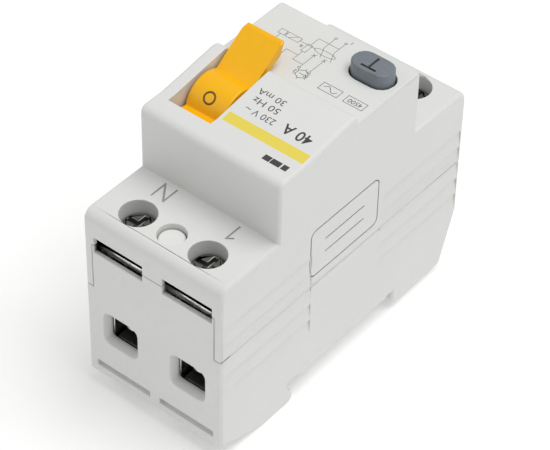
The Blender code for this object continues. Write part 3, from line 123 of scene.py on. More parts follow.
def mouldedGrain():
    # eroded mould texture: fine height, slow tone drift from the melt, and patches of gloss
    tree, given, gives = startGroup(
        "mouldedGrain",
        "ShaderNodeTree",
        [
            ("Vector", "NodeSocketVector", None), ("Grain Scale", "NodeSocketFloat", 5200.0),
            ("Drift Scale", "NodeSocketFloat", 38.0),
        ],
        [("Height", "NodeSocketFloat"), ("Drift", "NodeSocketFloat"), ("Gloss", "NodeSocketFloat")],
    )
    fine = addNode(
        tree, "ShaderNodeTexNoise",
        {"Vector": given["Vector"], "Scale": given["Grain Scale"], "Detail": 3.0, "Roughness": 0.6},
    )
    pits = addNode(
        tree, "ShaderNodeTexVoronoi",
        {"Vector": given["Vector"], "Scale": calc(tree, "MULTIPLY", given["Grain Scale"], 0.55)},
    )
    slow = addNode(
        tree, "ShaderNodeTexNoise",
        {"Vector": given["Vector"], "Scale": given["Drift Scale"], "Detail": 4.0, "Roughness": 0.55},
    )
    patch = addNode(
        tree, "ShaderNodeTexNoise",
        {
            "Vector": given["Vector"], "Scale": calc(tree, "MULTIPLY", given["Drift Scale"], 5.0),
            "Detail": 5.0,
        },
    )
    height = calc(tree, "MULTIPLY_ADD", pits.outputs["Distance"], 0.45, fine.outputs["Fac"])
    tree.links.new(height, gives["Height"])
    tree.links.new(remap(tree, slow.outputs["Fac"], 0.32, 0.68), gives["Drift"])
    tree.links.new(remap(tree, patch.outputs["Fac"], 0.3, 0.7), gives["Gloss"])
    return tree


def edgeRub():
    # mask of corners that fingers and tools have polished, broken up so that it isn't a clean line
    tree, given, gives = startGroup(
        "edgeRub",
        "ShaderNodeTree",
        [
            ("Vector", "NodeSocketVector", None), ("Start", "NodeSocketFloat", 0.505),
            ("Full", "NodeSocketFloat", 0.56), ("Break Up", "NodeSocketFloat", 700.0),
        ],
        [("Mask", "NodeSocketFloat")],
    )
    geometry = addNode(tree, "ShaderNodeNewGeometry")
    corner = remap(tree, geometry.outputs["Pointiness"], given["Start"], given["Full"])
    spots = addNode(
        tree, "ShaderNodeTexNoise", {"Vector": given["Vector"], "Scale": given["Break Up"], "Detail": 4.0}
    )
    broken = remap(tree, spots.outputs["Fac"], 0.35, 0.62)
    tree.links.new(calc(tree, "MULTIPLY", corner, broken), gives["Mask"])
    return tree


def drawnMetal():
    # drawn or rolled metal: long streaks along one axis, with small dents and a faint stain
    tree, given, gives = startGroup(
        "drawnMetal",
        "ShaderNodeTree",
        [
            ("Vector", "NodeSocketVector", None), ("Streak Scale", "NodeSocketFloat", 2600.0),
            ("Stretch", "NodeSocketVector", (1.0, 0.04, 1.0)), ("Stain Scale", "NodeSocketFloat", 260.0),
        ],
        [("Height", "NodeSocketFloat"), ("Streak", "NodeSocketFloat"), ("Stain", "NodeSocketFloat")],
    )
    drawn = addNode(
        tree, "ShaderNodeVectorMath", {0: given["Vector"], 1: given["Stretch"]}, operation="MULTIPLY"
    )
    streak = addNode(
        tree, "ShaderNodeTexNoise",
        {"Vector": drawn.outputs[0], "Scale": given["Streak Scale"], "Detail": 5.0, "Roughness": 0.65},
    )
    stain = addNode(
        tree, "ShaderNodeTexNoise",
        {"Vector": given["Vector"], "Scale": given["Stain Scale"], "Detail": 6.0, "Roughness": 0.6},
    )
    dents = addNode(
        tree, "ShaderNodeTexVoronoi",
        {"Vector": given["Vector"], "Scale": calc(tree, "MULTIPLY", given["Stain Scale"], 3.0)},
    )
    dent = remap(tree, dents.outputs["Distance"], 0.0, 0.25)
    tree.links.new(calc(tree, "MULTIPLY_ADD", dent, 0.35, streak.outputs["Fac"]), gives["Height"])
    tree.links.new(remap(tree, streak.outputs["Fac"], 0.3, 0.7), gives["Streak"])
    tree.links.new(remap(tree, stain.outputs["Fac"], 0.42, 0.72), gives["Stain"])
    return tree


def settledDust():
    # dust that lies on faces turned upwards
    tree, given, gives = startGroup(
        "settledDust",
        "ShaderNodeTree",
        [
            ("Vector", "NodeSocketVector", None), ("Amount", "NodeSocketFloat", 0.3),
            ("Clump Scale", "NodeSocketFloat", 900.0),
        ],
        [("Mask", "NodeSocketFloat")],
    )
    geometry = addNode(tree, "ShaderNodeNewGeometry")
    split = addNode(tree, "ShaderNodeSeparateXYZ", {0: geometry.outputs["Normal"]})
    facing = remap(tree, split.outputs["Z"], 0.55, 1.0)
    clumps = addNode(
        tree, "ShaderNodeTexNoise",
        {"Vector": given["Vector"], "Scale": given["Clump Scale"], "Detail": 6.0, "Roughness": 0.7},
    )
    loose = remap(tree, clumps.outputs["Fac"], 0.45, 0.75)
    tree.links.new(
        calc(tree, "MULTIPLY", calc(tree, "MULTIPLY", facing, loose), given["Amount"]), gives["Mask"]
    )
    return tree


def wovenCloth():
    # glass cloth under the lacquer of a laminate: crossed waves
    tree, given, gives = startGroup(
        "wovenCloth",
        "ShaderNodeTree",
        [("Vector", "NodeSocketVector", None), ("Thread Scale", "NodeSocketFloat", 1700.0)],
        [("Height", "NodeSocketFloat"), ("Weave", "NodeSocketFloat")],
    )
    waves = []
    for direction in ("X", "Y"):
        wave = addNode(
            tree, "ShaderNodeTexWave",
            {"Vector": given["Vector"], "Scale": given["Thread Scale"], "Distortion": 0.6},
            bands_direction=direction,
        )
        waves.append(wave.outputs["Fac"])
    crossed = calc(tree, "MULTIPLY", waves[0], waves[1])
    tree.links.new(crossed, gives["Height"])
    tree.links.new(remap(tree, crossed, 0.1, 0.8), gives["Weave"])
    return tree


sharedGroups = {
    build.__name__: build() for build in (mouldedGrain, edgeRub, drawnMetal, settledDust, wovenCloth)
}


def useGroup(tree, name, **feeds):
    made = tree.nodes.new("ShaderNodeGroup")
    made.node_tree = sharedGroups[name]
    for key, value in feeds.items():
        label = "".join(" " + letter if letter.isupper() else letter for letter in key)
        socket = made.inputs[label[0].upper() + label[1:]]
        if isinstance(value, bpy.types.NodeSocket):
            tree.links.new(value, socket)
        else:
            socket.default_value = value
    return made.outputs


def blendColour(tree, factor, first, second):
    made = tree.nodes.new("ShaderNodeMix")
    made.data_type = "RGBA"
    tree.links.new(factor, made.inputs["Factor"])
    for slot, value in (("A", first), ("B", second)):
        socket = next(s for s in made.inputs if s.name == slot and s.type == "RGBA")
        if isinstance(value, bpy.types.NodeSocket):
            tree.links.new(value, socket)
        else:
            socket.default_value = (*value, 1.0)
    return next(s for s in made.outputs if s.type == "RGBA")


def startMaterial(name, turn=(0.0, 0.0, 0.0)):
    made = bpy.data.materials.new(name)
    made.use_nodes = True
    tree = made.node_tree
    coordinates = addNode(tree, "ShaderNodeTexCoord").outputs["Object"]
    vector = addNode(tree, "ShaderNodeMapping", {"Vector": coordinates, "Rotation": turn}).outputs[0]
    return made, tree, tree.nodes["Principled BSDF"], vector


def roughen(tree, shader, height, strength, distance):
    bump = addNode(tree, "ShaderNodeBump", {"Height": height, "Strength": strength, "Distance": distance})
    tree.links.new(bump.outputs["Normal"], shader.inputs["Normal"])


def scaled(colour, factor):
    return tuple(min(1.0, part * factor) for part in colour)


def plastic(
    name, colour, roughness=0.45, spread=0.08, grain=5200.0, depth=0.25, drift=0.03, rub=0.25, dust=0.0,
    coat=0.0,
):
    made, tree, shader, vector = startMaterial(name)
    skin = useGroup(tree, "mouldedGrain", vector=vector, grainScale=grain)
    worn = useGroup(tree, "edgeRub", vector=vector)
    tone = blendColour(tree, skin["Drift"], scaled(colour, 1 - drift), scaled(colour, 1 + drift))
    rubbed = blendColour(tree, calc(tree, "MULTIPLY", worn["Mask"], rub), tone, scaled(colour, 1.18))
    if dust:
        fallen = useGroup(tree, "settledDust", vector=vector, amount=dust)
        rubbed = blendColour(tree, fallen["Mask"], rubbed, (0.55, 0.53, 0.5))
    tree.links.new(rubbed, shader.inputs["Base Color"])
    matt = remap(tree, skin["Gloss"], 0.0, 1.0, roughness - spread / 2, roughness + spread / 2)
    polished = calc(tree, "MULTIPLY_ADD", worn["Mask"], -0.12 * rub, matt)
    tree.links.new(polished, shader.inputs["Roughness"])
    shader.inputs["Coat Weight"].default_value = coat
    roughen(tree, shader, skin["Height"], depth, 0.00004)
    return made


def metal(
    name, colour, tarnish, roughness=0.28, spread=0.18, stretch=(1.0, 0.04, 1.0), streaks=2600.0, depth=0.35,
    stain=0.5,
):
    made, tree, shader, vector = startMaterial(name)
    drawn = useGroup(tree, "drawnMetal", vector=vector, streakScale=streaks, stretch=stretch)
    worn = useGroup(tree, "edgeRub", vector=vector, breakUp=1400.0)
    tone = blendColour(tree, drawn["Streak"], scaled(colour, 0.9), scaled(colour, 1.08))
    stained = blendColour(tree, calc(tree, "MULTIPLY", drawn["Stain"], stain), tone, tarnish)
    bright = blendColour(tree, calc(tree, "MULTIPLY", worn["Mask"], 0.6), stained, scaled(colour, 1.3))
    tree.links.new(bright, shader.inputs["Base Color"])
    matt = remap(tree, drawn["Streak"], 0.0, 1.0, roughness - spread / 2, roughness + spread / 2)
    dull = calc(tree, "MULTIPLY_ADD", drawn["Stain"], 0.12, matt)
    tree.links.new(dull, shader.inputs["Roughness"])
    shader.inputs["Metallic"].default_value = 1.0
    roughen(tree, shader, drawn["Height"], depth, 0.00002)
    return made


def laminate(name, colour, threadTone):
    made, tree, shader, vector = startMaterial(name)
    cloth = useGroup(tree, "wovenCloth", vector=vector)
    skin = useGroup(tree, "mouldedGrain", vector=vector, grainScale=2400.0)
    woven = blendColour(tree, cloth["Weave"], colour, threadTone)
    tone = blendColour(tree, calc(tree, "MULTIPLY", skin["Drift"], 0.35), woven, scaled(colour, 0.6))
    tree.links.new(tone, shader.inputs["Base Color"])
    tree.links.new(remap(tree, skin["Gloss"], 0.0, 1.0, 0.22, 0.42), shader.inputs["Roughness"])
    shader.inputs["Coat Weight"].default_value = 0.3
    roughen(tree, shader, cloth["Height"], 0.2, 0.00002)
    return made


finishes = {
    "housing": plastic(
        "housingPlastic", (0.755, 0.76, 0.74), 0.5, grain=4800.0, depth=0.16, drift=0.012, rub=0.12
    ),
    "plug": plastic("plugPlastic", (0.79, 0.795, 0.775), 0.42, grain=4800.0, depth=0.1, drift=0.01),
    # flat darker grey for the faces inside the engraved marks: painted shade for the shadow in the recesses
    "engravingShade": plastic("engravedShade", (0.4, 0.4, 0.39), 0.6, depth=0.1, rub=0.0),
    "amber": plastic(
        "amberPlastic", (1.0, 0.5, 0.0), 0.34, 0.06, grain=3600.0, depth=0.06, drift=0.02, rub=0.2
    ),
    "slate": plastic(
        "slatePlastic", (0.175, 0.2, 0.225), 0.48, grain=5200.0, depth=0.14, drift=0.04, rub=0.5
    ),
    # near-black for the faces inside the sunk T on the test button: painted shadow in the recess
    "slateShadow": plastic("slateRecessShadow", (0.018, 0.02, 0.023), 0.6, depth=0.1, rub=0.0),
    "darkPlastic": plastic("darkNylon", (0.055, 0.055, 0.06), 0.5, depth=0.3, drift=0.1, rub=0.6, dust=0.12),
    "black": plastic(
        "blackCompound", (0.022, 0.022, 0.023), 0.55, grain=7000.0, depth=0.4, drift=0.15, rub=0.4
    ),
    "green": plastic("greenFlag", (0.015, 0.1, 0.05), 0.42, depth=0.12, rub=0.3),
    "red": plastic("redFlag", (0.5, 0.02, 0.012), 0.42, depth=0.12, rub=0.3),
    "blueSleeve": plastic("blueSleeve", (0.03, 0.12, 0.42), 0.38, grain=2600.0, depth=0.12, drift=0.05),
    "brownSleeve": plastic("brownSleeve", (0.19, 0.075, 0.03), 0.38, grain=2600.0, depth=0.12, drift=0.05),
    "blueCoat": plastic(
        "blueDippedCoat", (0.02, 0.16, 0.42), 0.3, grain=900.0, depth=0.25, drift=0.08, coat=0.4
    ),
    "canSleeve": plastic("canSleeve", (0.03, 0.035, 0.055), 0.28, grain=1500.0, depth=0.08, coat=0.5),
    "resistorBody": plastic(
        "resistorLacquer", (0.52, 0.36, 0.2), 0.4, grain=1800.0, depth=0.2, drift=0.08, coat=0.3
    ),
    "bandBrown": plastic("bandBrown", (0.12, 0.035, 0.01), 0.4, depth=0.1),
    "bandRed": plastic("bandRed", (0.55, 0.02, 0.01), 0.4, depth=0.1),
    "bandGold": plastic("bandGold", (0.6, 0.38, 0.1), 0.3, depth=0.1),
    "ferrite": plastic(
        "coreCoating", (0.05, 0.055, 0.07), 0.42, grain=1300.0, depth=0.5, drift=0.15, rub=0.5
    ),
    "printGrey": plastic(
        "printedGrey", (0.085, 0.085, 0.088), 0.6, grain=9000.0, depth=0.05, drift=0.15, rub=0.0
    ),
    "printDark": plastic(
        "printedDark", (0.05, 0.05, 0.052), 0.6, grain=9000.0, depth=0.05, drift=0.15, rub=0.0
    ),
    "printYellow": plastic(
        "printedYellow", (0.83, 0.68, 0.09), 0.55, grain=9000.0, depth=0.05, drift=0.02, rub=0.0
    ),
    "printBrown": plastic(
        "printedBrown", (0.16, 0.075, 0.012), 0.5, grain=9000.0, depth=0.05, drift=0.1, rub=0.0
    ),
    "zinc": metal("zincPlate", (0.6, 0.62, 0.65), (0.4, 0.4, 0.36), 0.32),
    "springSteel": metal(
        "springSteel", (0.46, 0.47, 0.49), (0.25, 0.22, 0.18), 0.26, stretch=(1.0, 1.0, 0.3)
    ),
    "nickel": metal(
        "nickelPlate", (0.8, 0.79, 0.76), (0.52, 0.49, 0.42), 0.16, 0.12, stretch=(0.05, 1.0, 1.0), stain=0.25
    ),
    "darkSteel": metal(
        "chromatedSteel", (0.2, 0.2, 0.19), (0.07, 0.065, 0.05), 0.38, stretch=(1.0, 1.0, 0.4)
    ),
    "copper": metal("bareCopper", (0.78, 0.4, 0.24), (0.3, 0.13, 0.07), 0.26, stretch=(1.0, 0.05, 1.0)),
    "silver": metal(
        "contactSilver", (0.86, 0.85, 0.82), (0.5, 0.45, 0.36), 0.3, stretch=(1.0, 1.0, 1.0), stain=0.6
    ),
    "enamel": metal(
        "enamelledWire", (0.62, 0.23, 0.08), (0.25, 0.07, 0.03), 0.3, stretch=(1.0, 1.0, 1.0), depth=0.15
    ),
    "solder": metal(
        "solder", (0.7, 0.7, 0.69), (0.45, 0.44, 0.42), 0.3, stretch=(1.0, 1.0, 1.0), streaks=900.0
    ),
    "board": laminate("boardLaminate", (0.012, 0.12, 0.045), (0.03, 0.2, 0.08)),
}
print("finishes made:", len(finishes))


# ---- mesh tools


def evaluatedMesh(target):
    graph = bpy.context.evaluated_depsgraph_get()
    return bpy.data.meshes.new_from_object(
        target.evaluated_get(graph), preserve_all_data_layers=True, depsgraph=graph
    )


def settle(target):
    # the evaluated shape becomes the object's own mesh, with no modifiers left
    mesh = evaluatedMesh(target)
    target.modifiers.clear()
    target.data = mesh
    return target


def newObject(name, mesh, *materials):
    made = bpy.data.objects.new(name, mesh)
    bpy.context.scene.collection.objects.link(made)
    chosen = [face.material_index for face in mesh.polygons]  # clear() sets them all to the first
    mesh.materials.clear()
    for material in materials:
        mesh.materials.append(finishes[material])
    for face, index in zip(mesh.polygons, chosen):
        face.material_index = min(index, len(materials) - 1)
    return made


def meshFrom(name, shape, *materials):
    bmesh.ops.recalc_face_normals(shape, faces=shape.faces)
    mesh = bpy.data.meshes.new(name)
    shape.to_mesh(mesh)
    shape.free()
    mesh.shade_smooth()
    return newObject(name, mesh, *materials)


def evenShading(target, sharp=50):
    # flat faces keep flat shading while the rounded edges between them blend
    target.data.shade_smooth()
    target.data.set_sharp_from_angle(angle=math.radians(sharp))
    weighted = target.modifiers.new("evenShading", "WEIGHTED_NORMAL")
    weighted.mode = "FACE_AREA"
    weighted.weight = 100
    weighted.keep_sharp = True
    return settle(target)


def roundEdges(shape, radius, angle, segments):
    # only where the neighbouring edges leave room, so that one short edge doesn't shrink every corner
    room = 2.1 * radius * mm
    roomy = {v for v in shape.verts if min(e.calc_length() for e in v.link_edges) > room}
    sharp = [e for e in shape.edges if len(e.link_faces) == 2 and e.calc_face_angle() > math.radians(angle)]
    plain = [e for e in sharp if not any(f.material_index for f in e.link_faces)]  # engraved edges stay crisp
    edges = [e for e in plain if roomy.issuperset(e.verts)]
    bmesh.ops.bevel(
        shape, geom=edges, offset=radius * mm, offset_type="OFFSET", segments=segments, profile=0.5,
        affect="EDGES", clamp_overlap=False, loop_slide=True, material=-1,
    )


def cadShape(node):
    shape = bmesh.new()
    shape.from_mesh(frame["nodes"][node].data)
    bmesh.ops.remove_doubles(shape, verts=shape.verts, dist=0.001 * mm)
    bmesh.ops.dissolve_limit(shape, angle_limit=math.radians(0.3), verts=shape.verts, edges=shape.edges)
    return shape


def shapeOf(target):
    # the object's mesh as an editable shape, the object itself gone
    shape = bmesh.new()
    shape.from_mesh(target.data)
    bpy.data.objects.remove(target)
    return shape


def softened(name, node, material, radius=0.15, angle=30, segments=2):
    # the CAD solid with its corners broken
    shape = cadShape(node)
    roundEdges(shape, radius, angle, segments)
    return meshFrom(name, shape, material)


def carve(target, cutter):
    cut = target.modifiers.new("carve", "BOOLEAN")
    cut.operation = "DIFFERENCE"
    cut.solver = "EXACT"
    cut.use_self = True
    cut.object = cutter
    cut.material_mode = "TRANSFER"
    settle(target)
    bpy.data.objects.remove(cutter)
    return target


def finishPiece(target, body, slot, *nodes):
    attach(target, body)
    if nodes:
        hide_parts(*nodes)
    return target


# ---- housing: both shells with broken corners, shallow engravings and printed marks

ramp = {"startY": -15.0, "crestY": 0.3, "rise": 2.1}
nose = {"flatZ": high("front_cover").z - ramp["rise"], "shoulderZ": 43.4}
rampSlope = math.atan2(ramp["rise"], ramp["crestY"] - ramp["startY"])


def onFlat(x, y, z):
    # marks on level faces read from the load end
    return Matrix.Translation(Vector((x, y, z)) * mm) @ Matrix.Rotation(math.pi, 4, "Z")


def onRamp(x, y):
    z = nose["flatZ"] + (y - ramp["startY"]) * math.tan(rampSlope)
    return Matrix.Translation(
        Vector((x, y, z)) * mm
    ) @ Matrix.Rotation(rampSlope, 4, "X") @ Matrix.Rotation(math.pi, 4, "Z")


def onSide(x, y, z):
    # marks on the line-pole side, upright with the supply end to the left
    turn = Matrix(((0, 0, 1), (1, 0, 0), (0, 1, 0))).to_4x4()
    return Matrix.Translation(Vector((x, y, z)) * mm) @ turn


def textShape(shape, body, size, thick, place, stretch=1.0, weight=0.0):
    # letters as thin closed solids, centred on their place, sunk a little below the face
    data = bpy.data.curves.new("letters", "FONT")
    data.body = body
    data.size = size * mm
    data.align_x = "CENTER"
    data.align_y = "CENTER"
    data.extrude = thick * mm
    data.offset = weight * mm
    data.resolution_u = 4
    made = bpy.data.objects.new("letters", data)
    bpy.context.scene.collection.objects.link(made)
    mesh = evaluatedMesh(made)
    mesh.transform(place @ Matrix.Diagonal((stretch, 1.0, 1.0, 1.0)))
    shape.from_mesh(mesh)
    bpy.data.objects.remove(made)
    bpy.data.meshes.remove(mesh)


def addBlock(shape, size, place):
    made = bmesh.ops.create_cube(shape, size=1.0)
    bmesh.ops.transform(
        shape, matrix=place @ Matrix.Diagonal((size[0] * mm, size[1] * mm, size[2] * mm, 1.0)),
        verts=made["verts"],
    )


def addLine(shape, points, width, thick, place):
    # a printed or engraved line through flat points, in millimetres
    for first, last in zip(points, points[1:]):
        run = Vector(last) - Vector(first)
        centre = (Vector(first) + Vector(last)) / 2
        turn = Matrix.Rotation(math.atan2(run.y, run.x), 4, "Z")
        spot = place @ Matrix.Translation((centre.x * mm, centre.y * mm, 0.0)) @ turn
        addBlock(shape, (run.length + width, width, 2 * thick), spot)


def ringPoints(radius, sides, centre=(0.0, 0.0), start=0.0, sweep=360.0):
    angles = [math.radians(start + sweep * i / sides) for i in range(sides + 1)]
    return [(centre[0] + radius * math.cos(a), centre[1] + radius * math.sin(a)) for a in angles]


def boxPoints(width, height, centre=(0.0, 0.0)):
    u, v = width / 2, height / 2
    corners = ((-u, -v), (u, -v), (u, v), (-u, v), (-u, -v))
    return [(centre[0] + a, centre[1] + b) for a, b in corners]


shells = {
    "cornerRadius": 0.2,
    "poleMarks": (("N", -1), ("1", 1)),
    "poleMarkY": -25.3,
    "poleMarkSize": 5.2,
    "markDepth": 0.3,
    "badge": (-12.0, 10.0, 26.5, 39.0),  # y and z span of the blank badge on the side
    "badgeLine": 0.3,
    "relief": (8.1, 9.95, 1.9, 2.8),     # shallow recess beside the status window
    "stepSlot": (-3.7, -2.2, 1.2, 2.5),  # small slot at the foot of the label ramp
}


def engravedMarks():
    # pole marks on the shoulder and a blank badge on the side, as one cutter
    cutter = bmesh.new()
    depth = shells["markDepth"]
    for body, side in shells["poleMarks"]:
        place = onFlat(side * 9.0, shells["poleMarkY"], nose["shoulderZ"])
        strokes = {
            "N": [[(-1.5, -2.1), (-1.5, 2.1), (1.5, -2.1), (1.5, 2.1)]],
            "1": [[(-0.9, 1.2), (0.2, 2.1), (0.2, -2.1)]],
        }
        for stroke in strokes[body]:
            addLine(cutter, stroke, 0.42, depth, place)
    return cutter


def addBadge(cutter):
    nearY, farY, lowZ, highZ = shells["badge"]
    place = onSide(high("front_cover").x, (nearY + farY) / 2, (lowZ + highZ) / 2)
    corner = 1.6
    width, height = farY - nearY, highZ - lowZ
    outline = []
    for sx, sy, start in ((1, -1, -90), (1, 1, 0), (-1, 1, 90), (-1, -1, 180)):
        centre = (sx * (width / 2 - corner), sy * (height / 2 - corner))
        outline += ringPoints(corner, 6, centre, start, 90)
    outline.append(outline[0])
    addLine(cutter, outline, shells["badgeLine"], shells["markDepth"] * 0.8, place)
    for row in (-1, 1):
        addLine(
            cutter, [(-width * 0.28, row * height * 0.14), (width * 0.28, row * height * 0.14)],
            shells["badgeLine"], shells["markDepth"] * 0.8, place,
        )


def addRecess(shape, span, depth):
    lowX, highX, lowY, highY = span
    centre = Vector(((lowX + highX) / 2, (lowY + highY) / 2, nose["flatZ"]))
    addBlock(shape, (highX - lowX, highY - lowY, 2 * depth), Matrix.Translation(centre * mm))


def frontShell():
    shell = meshFrom("frontBlank", cadShape("front_cover"), "housing", "engravingShade")
    recess = bmesh.new()
    addRecess(recess, shells["relief"], 0.45)
    addRecess(recess, shells["stepSlot"], 0.6)
    carve(shell, meshFrom("recessCutter", recess, "housing"))
    marks = engravedMarks()
    addBadge(marks)
    # the cutter's faces carry the darker grey into the shell: painted shade inside the engraved marks
    carve(shell, meshFrom("markCutter", marks, "engravingShade"))
    shape = shapeOf(shell)
    roundEdges(shape, shells["cornerRadius"], 40, 3)
    shell = meshFrom("frontShell", shape, "housing", "engravingShade")
    return finishPiece(evenShading(shell), "housing", "housing", "front_cover")


def rearShell():
    shell = softened("rearShell", "rear_base", "housing", shells["cornerRadius"], 40, 3)
    return finishPiece(evenShading(shell), "housing", "housing", "rear_base")


def seamTongue():
    # tongue of the base that shows as a pale line in the seam between the two shells
    lowest, highest = low("rear_base"), high("rear_base")
    inset, thick, height = 0.35, 0.5, 1.4
    seamZ = low("front_cover").z
    shape = bmesh.new()
    for side in (-1, 1):
        x = side * (highest.x - inset - thick / 2)
        place = Matrix.Translation(Vector((x, 0.0, seamZ)) * mm)
        addBlock(shape, (thick, highest.y - lowest.y - 6.0, height), place)
    return meshFrom("seamTongue", shape, "housing")


frontShell()
rearShell()
finishPiece(seamTongue(), "housing", "housing")
for end in ends:
    cap = softened(f"screwPlug_{end}", f"screw_plug_{end}", "plug", 0.12)
    finishPiece(evenShading(cap), "housing", "housing", f"screw_plug_{end}")
print("housing shells done")


printing = {
    "thick": 0.012,
    "thin": 0.13,   # line width of the small symbols
    "fine": 0.1,    # line width of the circuit sketch
}


def ratingLines():
    shape = bmesh.new()
    thick = printing["thick"]
    textShape(shape, "30 mA", 2.2, thick, onRamp(1.3, -4.4), 1.15)
    textShape(shape, "50 Hz", 2.3, thick, onRamp(1.8, -6.8), 1.2)
    textShape(shape, "230 V ~", 2.3, thick, onRamp(2.4, -9.5), 1.0)
    return meshFrom("ratingLines", shape, "printGrey")


def currentRating():
    shape = bmesh.new()
    textShape(shape, "40 A", 3.6, printing["thick"], onRamp(11.6, -9.2), 0.98, 0.05)
    return meshFrom("currentRating", shape, "printDark")


def ownerBars():
    # plain bars where a maker would print a mark
    shape = bmesh.new()
    for i, length in enumerate((1.5, 2.6, 1.9)):
        addBlock(
            shape, (length * 0.9, 1.5, 2 * printing["thick"]), onFlat(15.3 - 2.2 * i, -17.7, nose["flatZ"])
        )
    return meshFrom("ownerBars", shape, "printDark")


def yellowBand():
    shape = bmesh.new()
    addBlock(shape, (20.3, 2.6, 1.2 * printing["thick"]), onRamp(7.05, -13.4))
    return meshFrom("yellowBand", shape, "printYellow")


def acSymbol():
    # type of residual current: a sine wave in a frame
    shape = bmesh.new()
    place = onFlat(7.55, 6.1, nose["flatZ"])
    addLine(shape, boxPoints(4.7, 2.3), printing["thin"], printing["thick"], place)
    wave = [(-1.6 + 3.2 * i / 16, 0.65 * math.sin(2 * math.pi * i / 16)) for i in range(17)]
    addLine(shape, wave, printing["thin"], printing["thick"], place)
    return meshFrom("acSymbol", shape, "printGrey")


def breakingFrame():
    shape = bmesh.new()
    place = onFlat(13.8, 6.1, nose["flatZ"])
    addLine(shape, boxPoints(4.7, 2.2), printing["thin"], printing["thick"], place)
    textShape(shape, "4500", 1.75, printing["thick"], place, 0.98)
    return meshFrom("breakingFrame", shape, "printGrey")


def coldSymbol():
    # six-sided mark for use in the cold
    shape = bmesh.new()
    place = onFlat(0.1, 6.2, nose["flatZ"])
    addLine(shape, ringPoints(1.35, 6, start=30), printing["thin"], printing["thick"], place)
    for i in range(6):
        angle = math.radians(30 + 60 * i)
        tip = [(r * math.cos(angle), r * math.sin(angle)) for r in (1.35, 1.75)]
        addLine(shape, tip, printing["thin"], printing["thick"], place)
    addLine(shape, [(-0.55, 0.0), (0.55, 0.0)], printing["thin"], printing["thick"], place)
    return meshFrom("coldSymbol", shape, "printGrey")


def circuitSketch():
    # plain wiring sketch: two poles through a summation core, a test branch with its resistor and contact
    shape = bmesh.new()
    place = onFlat(-3.0, 13.0, nose["flatZ"])
    lines = [
        [(-4.0, -6.2), (-4.0, -2.6), (-5.2, 0.3)],
        [(-1.4, -6.2), (-1.4, -2.6), (-2.6, 0.3)],
        [(-4.0, 0.6), (-4.0, 5.2)],
        [(-1.4, 0.6), (-1.4, 5.2)],
        [(1.2, 2.6), (4.2, 2.6), (4.2, 4.6)],
        [(-1.4, 4.3), (1.2, 4.3), (1.2, 1.2)],
        [(1.2, -1.6), (1.2, -4.2), (-4.0, -4.2)],
        boxPoints(1.1, 2.6, (1.2, -0.2)),
        boxPoints(3.4, 1.5, (5.4, -1.2)),
        boxPoints(1.6, 1.5, (8.2, -1.2)),
        [(-0.2, -1.2), (3.7, -1.2)],
        [(7.1, -1.2), (7.4, -1.2)],
        [(4.6, -1.9), (6.2, -0.5)],
        [(6.6, 1.4), (8.6, 1.4), (8.6, 3.2), (6.6, 3.2), (6.6, 1.4)],
        [(7.6, 1.4), (7.6, 3.2)],
        [(6.6, 2.3), (8.6, 2.3)],
        [(8.2, -0.4), (8.2, 1.4)],
    ]
    core = [(x * 2.6, y * 0.75) for x, y in ringPoints(1.0, 18)]
    lines.append([(x - 2.7, y - 1.2) for x, y in core])
    for x in (-4.0, -1.4):
        lines.append(ringPoints(0.28, 8, (x, -6.5)))
        lines.append(ringPoints(0.28, 8, (x, 5.5)))
        lines.append([(x - 0.4, 0.2), (x + 0.4, 1.0)])
        lines.append([(x - 0.4, 1.0), (x + 0.4, 0.2)])
    for line in lines:
        addLine(shape, line, printing["fine"], printing["thick"], place)
    for body, x, y in (
        ("N", -4.2, 6.8), ("1", -4.9, -7.4), ("2", -1.4, 6.8), ("R", 2.6, -0.2), ("T", 5.4, 4.2)
    ):
        textShape(shape, body, 1.3, printing["thick"], place @ Matrix.Translation((x * mm, y * mm, 0)))
    return meshFrom("circuitSketch", shape, "printGrey")


for draw in (
    ratingLines, currentRating, ownerBars, yellowBand, acSymbol, breakingFrame, coldSymbol, circuitSketch
):
    marks = draw()
    marks.data.shade_flat()
    finishPiece(marks, "housing", "housing")
print("printing done")


# ---- toggle, with its ring and bar marks wrapped on the drum

toggle = {
    "pivot": (middle("toggle_pin").y, middle("toggle_pin").z),
    "centreX": middle("toggle_handle").x,
    "drumRadius": 6.05,
    "cornerRadius": 0.35,
    "offAngle": 131.0,   # where each mark sits on the drum, in degrees from +Y at rest
    "onAngle": -43.0,
    "ringRadius": 1.25,
    "ringWidth": 0.42,
    "proud": 0.015,
}


def wrapped(u, v, angle, radius):
    # flat mark coordinates to the drum: u along the pivot, v round it
    turn = math.radians(angle) + v / toggle["drumRadius"]
    y = toggle["pivot"][0] + radius * math.cos(turn)
    z = toggle["pivot"][1] + radius * math.sin(turn)
    return Vector((toggle["centreX"] + u, y, z)) * mm


def addWrappedStrip(shape, inner, outer, angle, closed):
    # a thin closed band between two flat curves, bent round the drum
    top = toggle["drumRadius"] + toggle["proud"]
    base = toggle["drumRadius"] - 0.05
    rings = []
    for curve, radius in ((inner, base), (outer, base), (outer, top), (inner, top)):
        rings.append([shape.verts.new(wrapped(u, v, angle, radius)) for u, v in curve])
    count = len(inner)
    for i in range(count if closed else count - 1):
        j = (i + 1) % count
        for k in range(4):
            here, after = rings[k], rings[(k + 1) % 4]
            shape.faces.new((here[i], here[j], after[j], after[i]))
    if not closed:
        for i in (0, count - 1):
            shape.faces.new([ring[i] for ring in rings])


def toggleMarks():
    shape = bmesh.new()
    half = toggle["ringWidth"] / 2
    inner = ringPoints(toggle["ringRadius"] - half, 36)[:-1]
    outer = ringPoints(toggle["ringRadius"] + half, 36)[:-1]
    addWrappedStrip(shape, inner, outer, toggle["offAngle"], True)
    reach = toggle["ringRadius"] + half
    bar = [(-half, -reach + 2 * reach * i / 12) for i in range(13)]
    addWrappedStrip(shape, bar, [(half, v) for _, v in bar], toggle["onAngle"], False)
    return meshFrom("toggleMarks", shape, "printBrown")


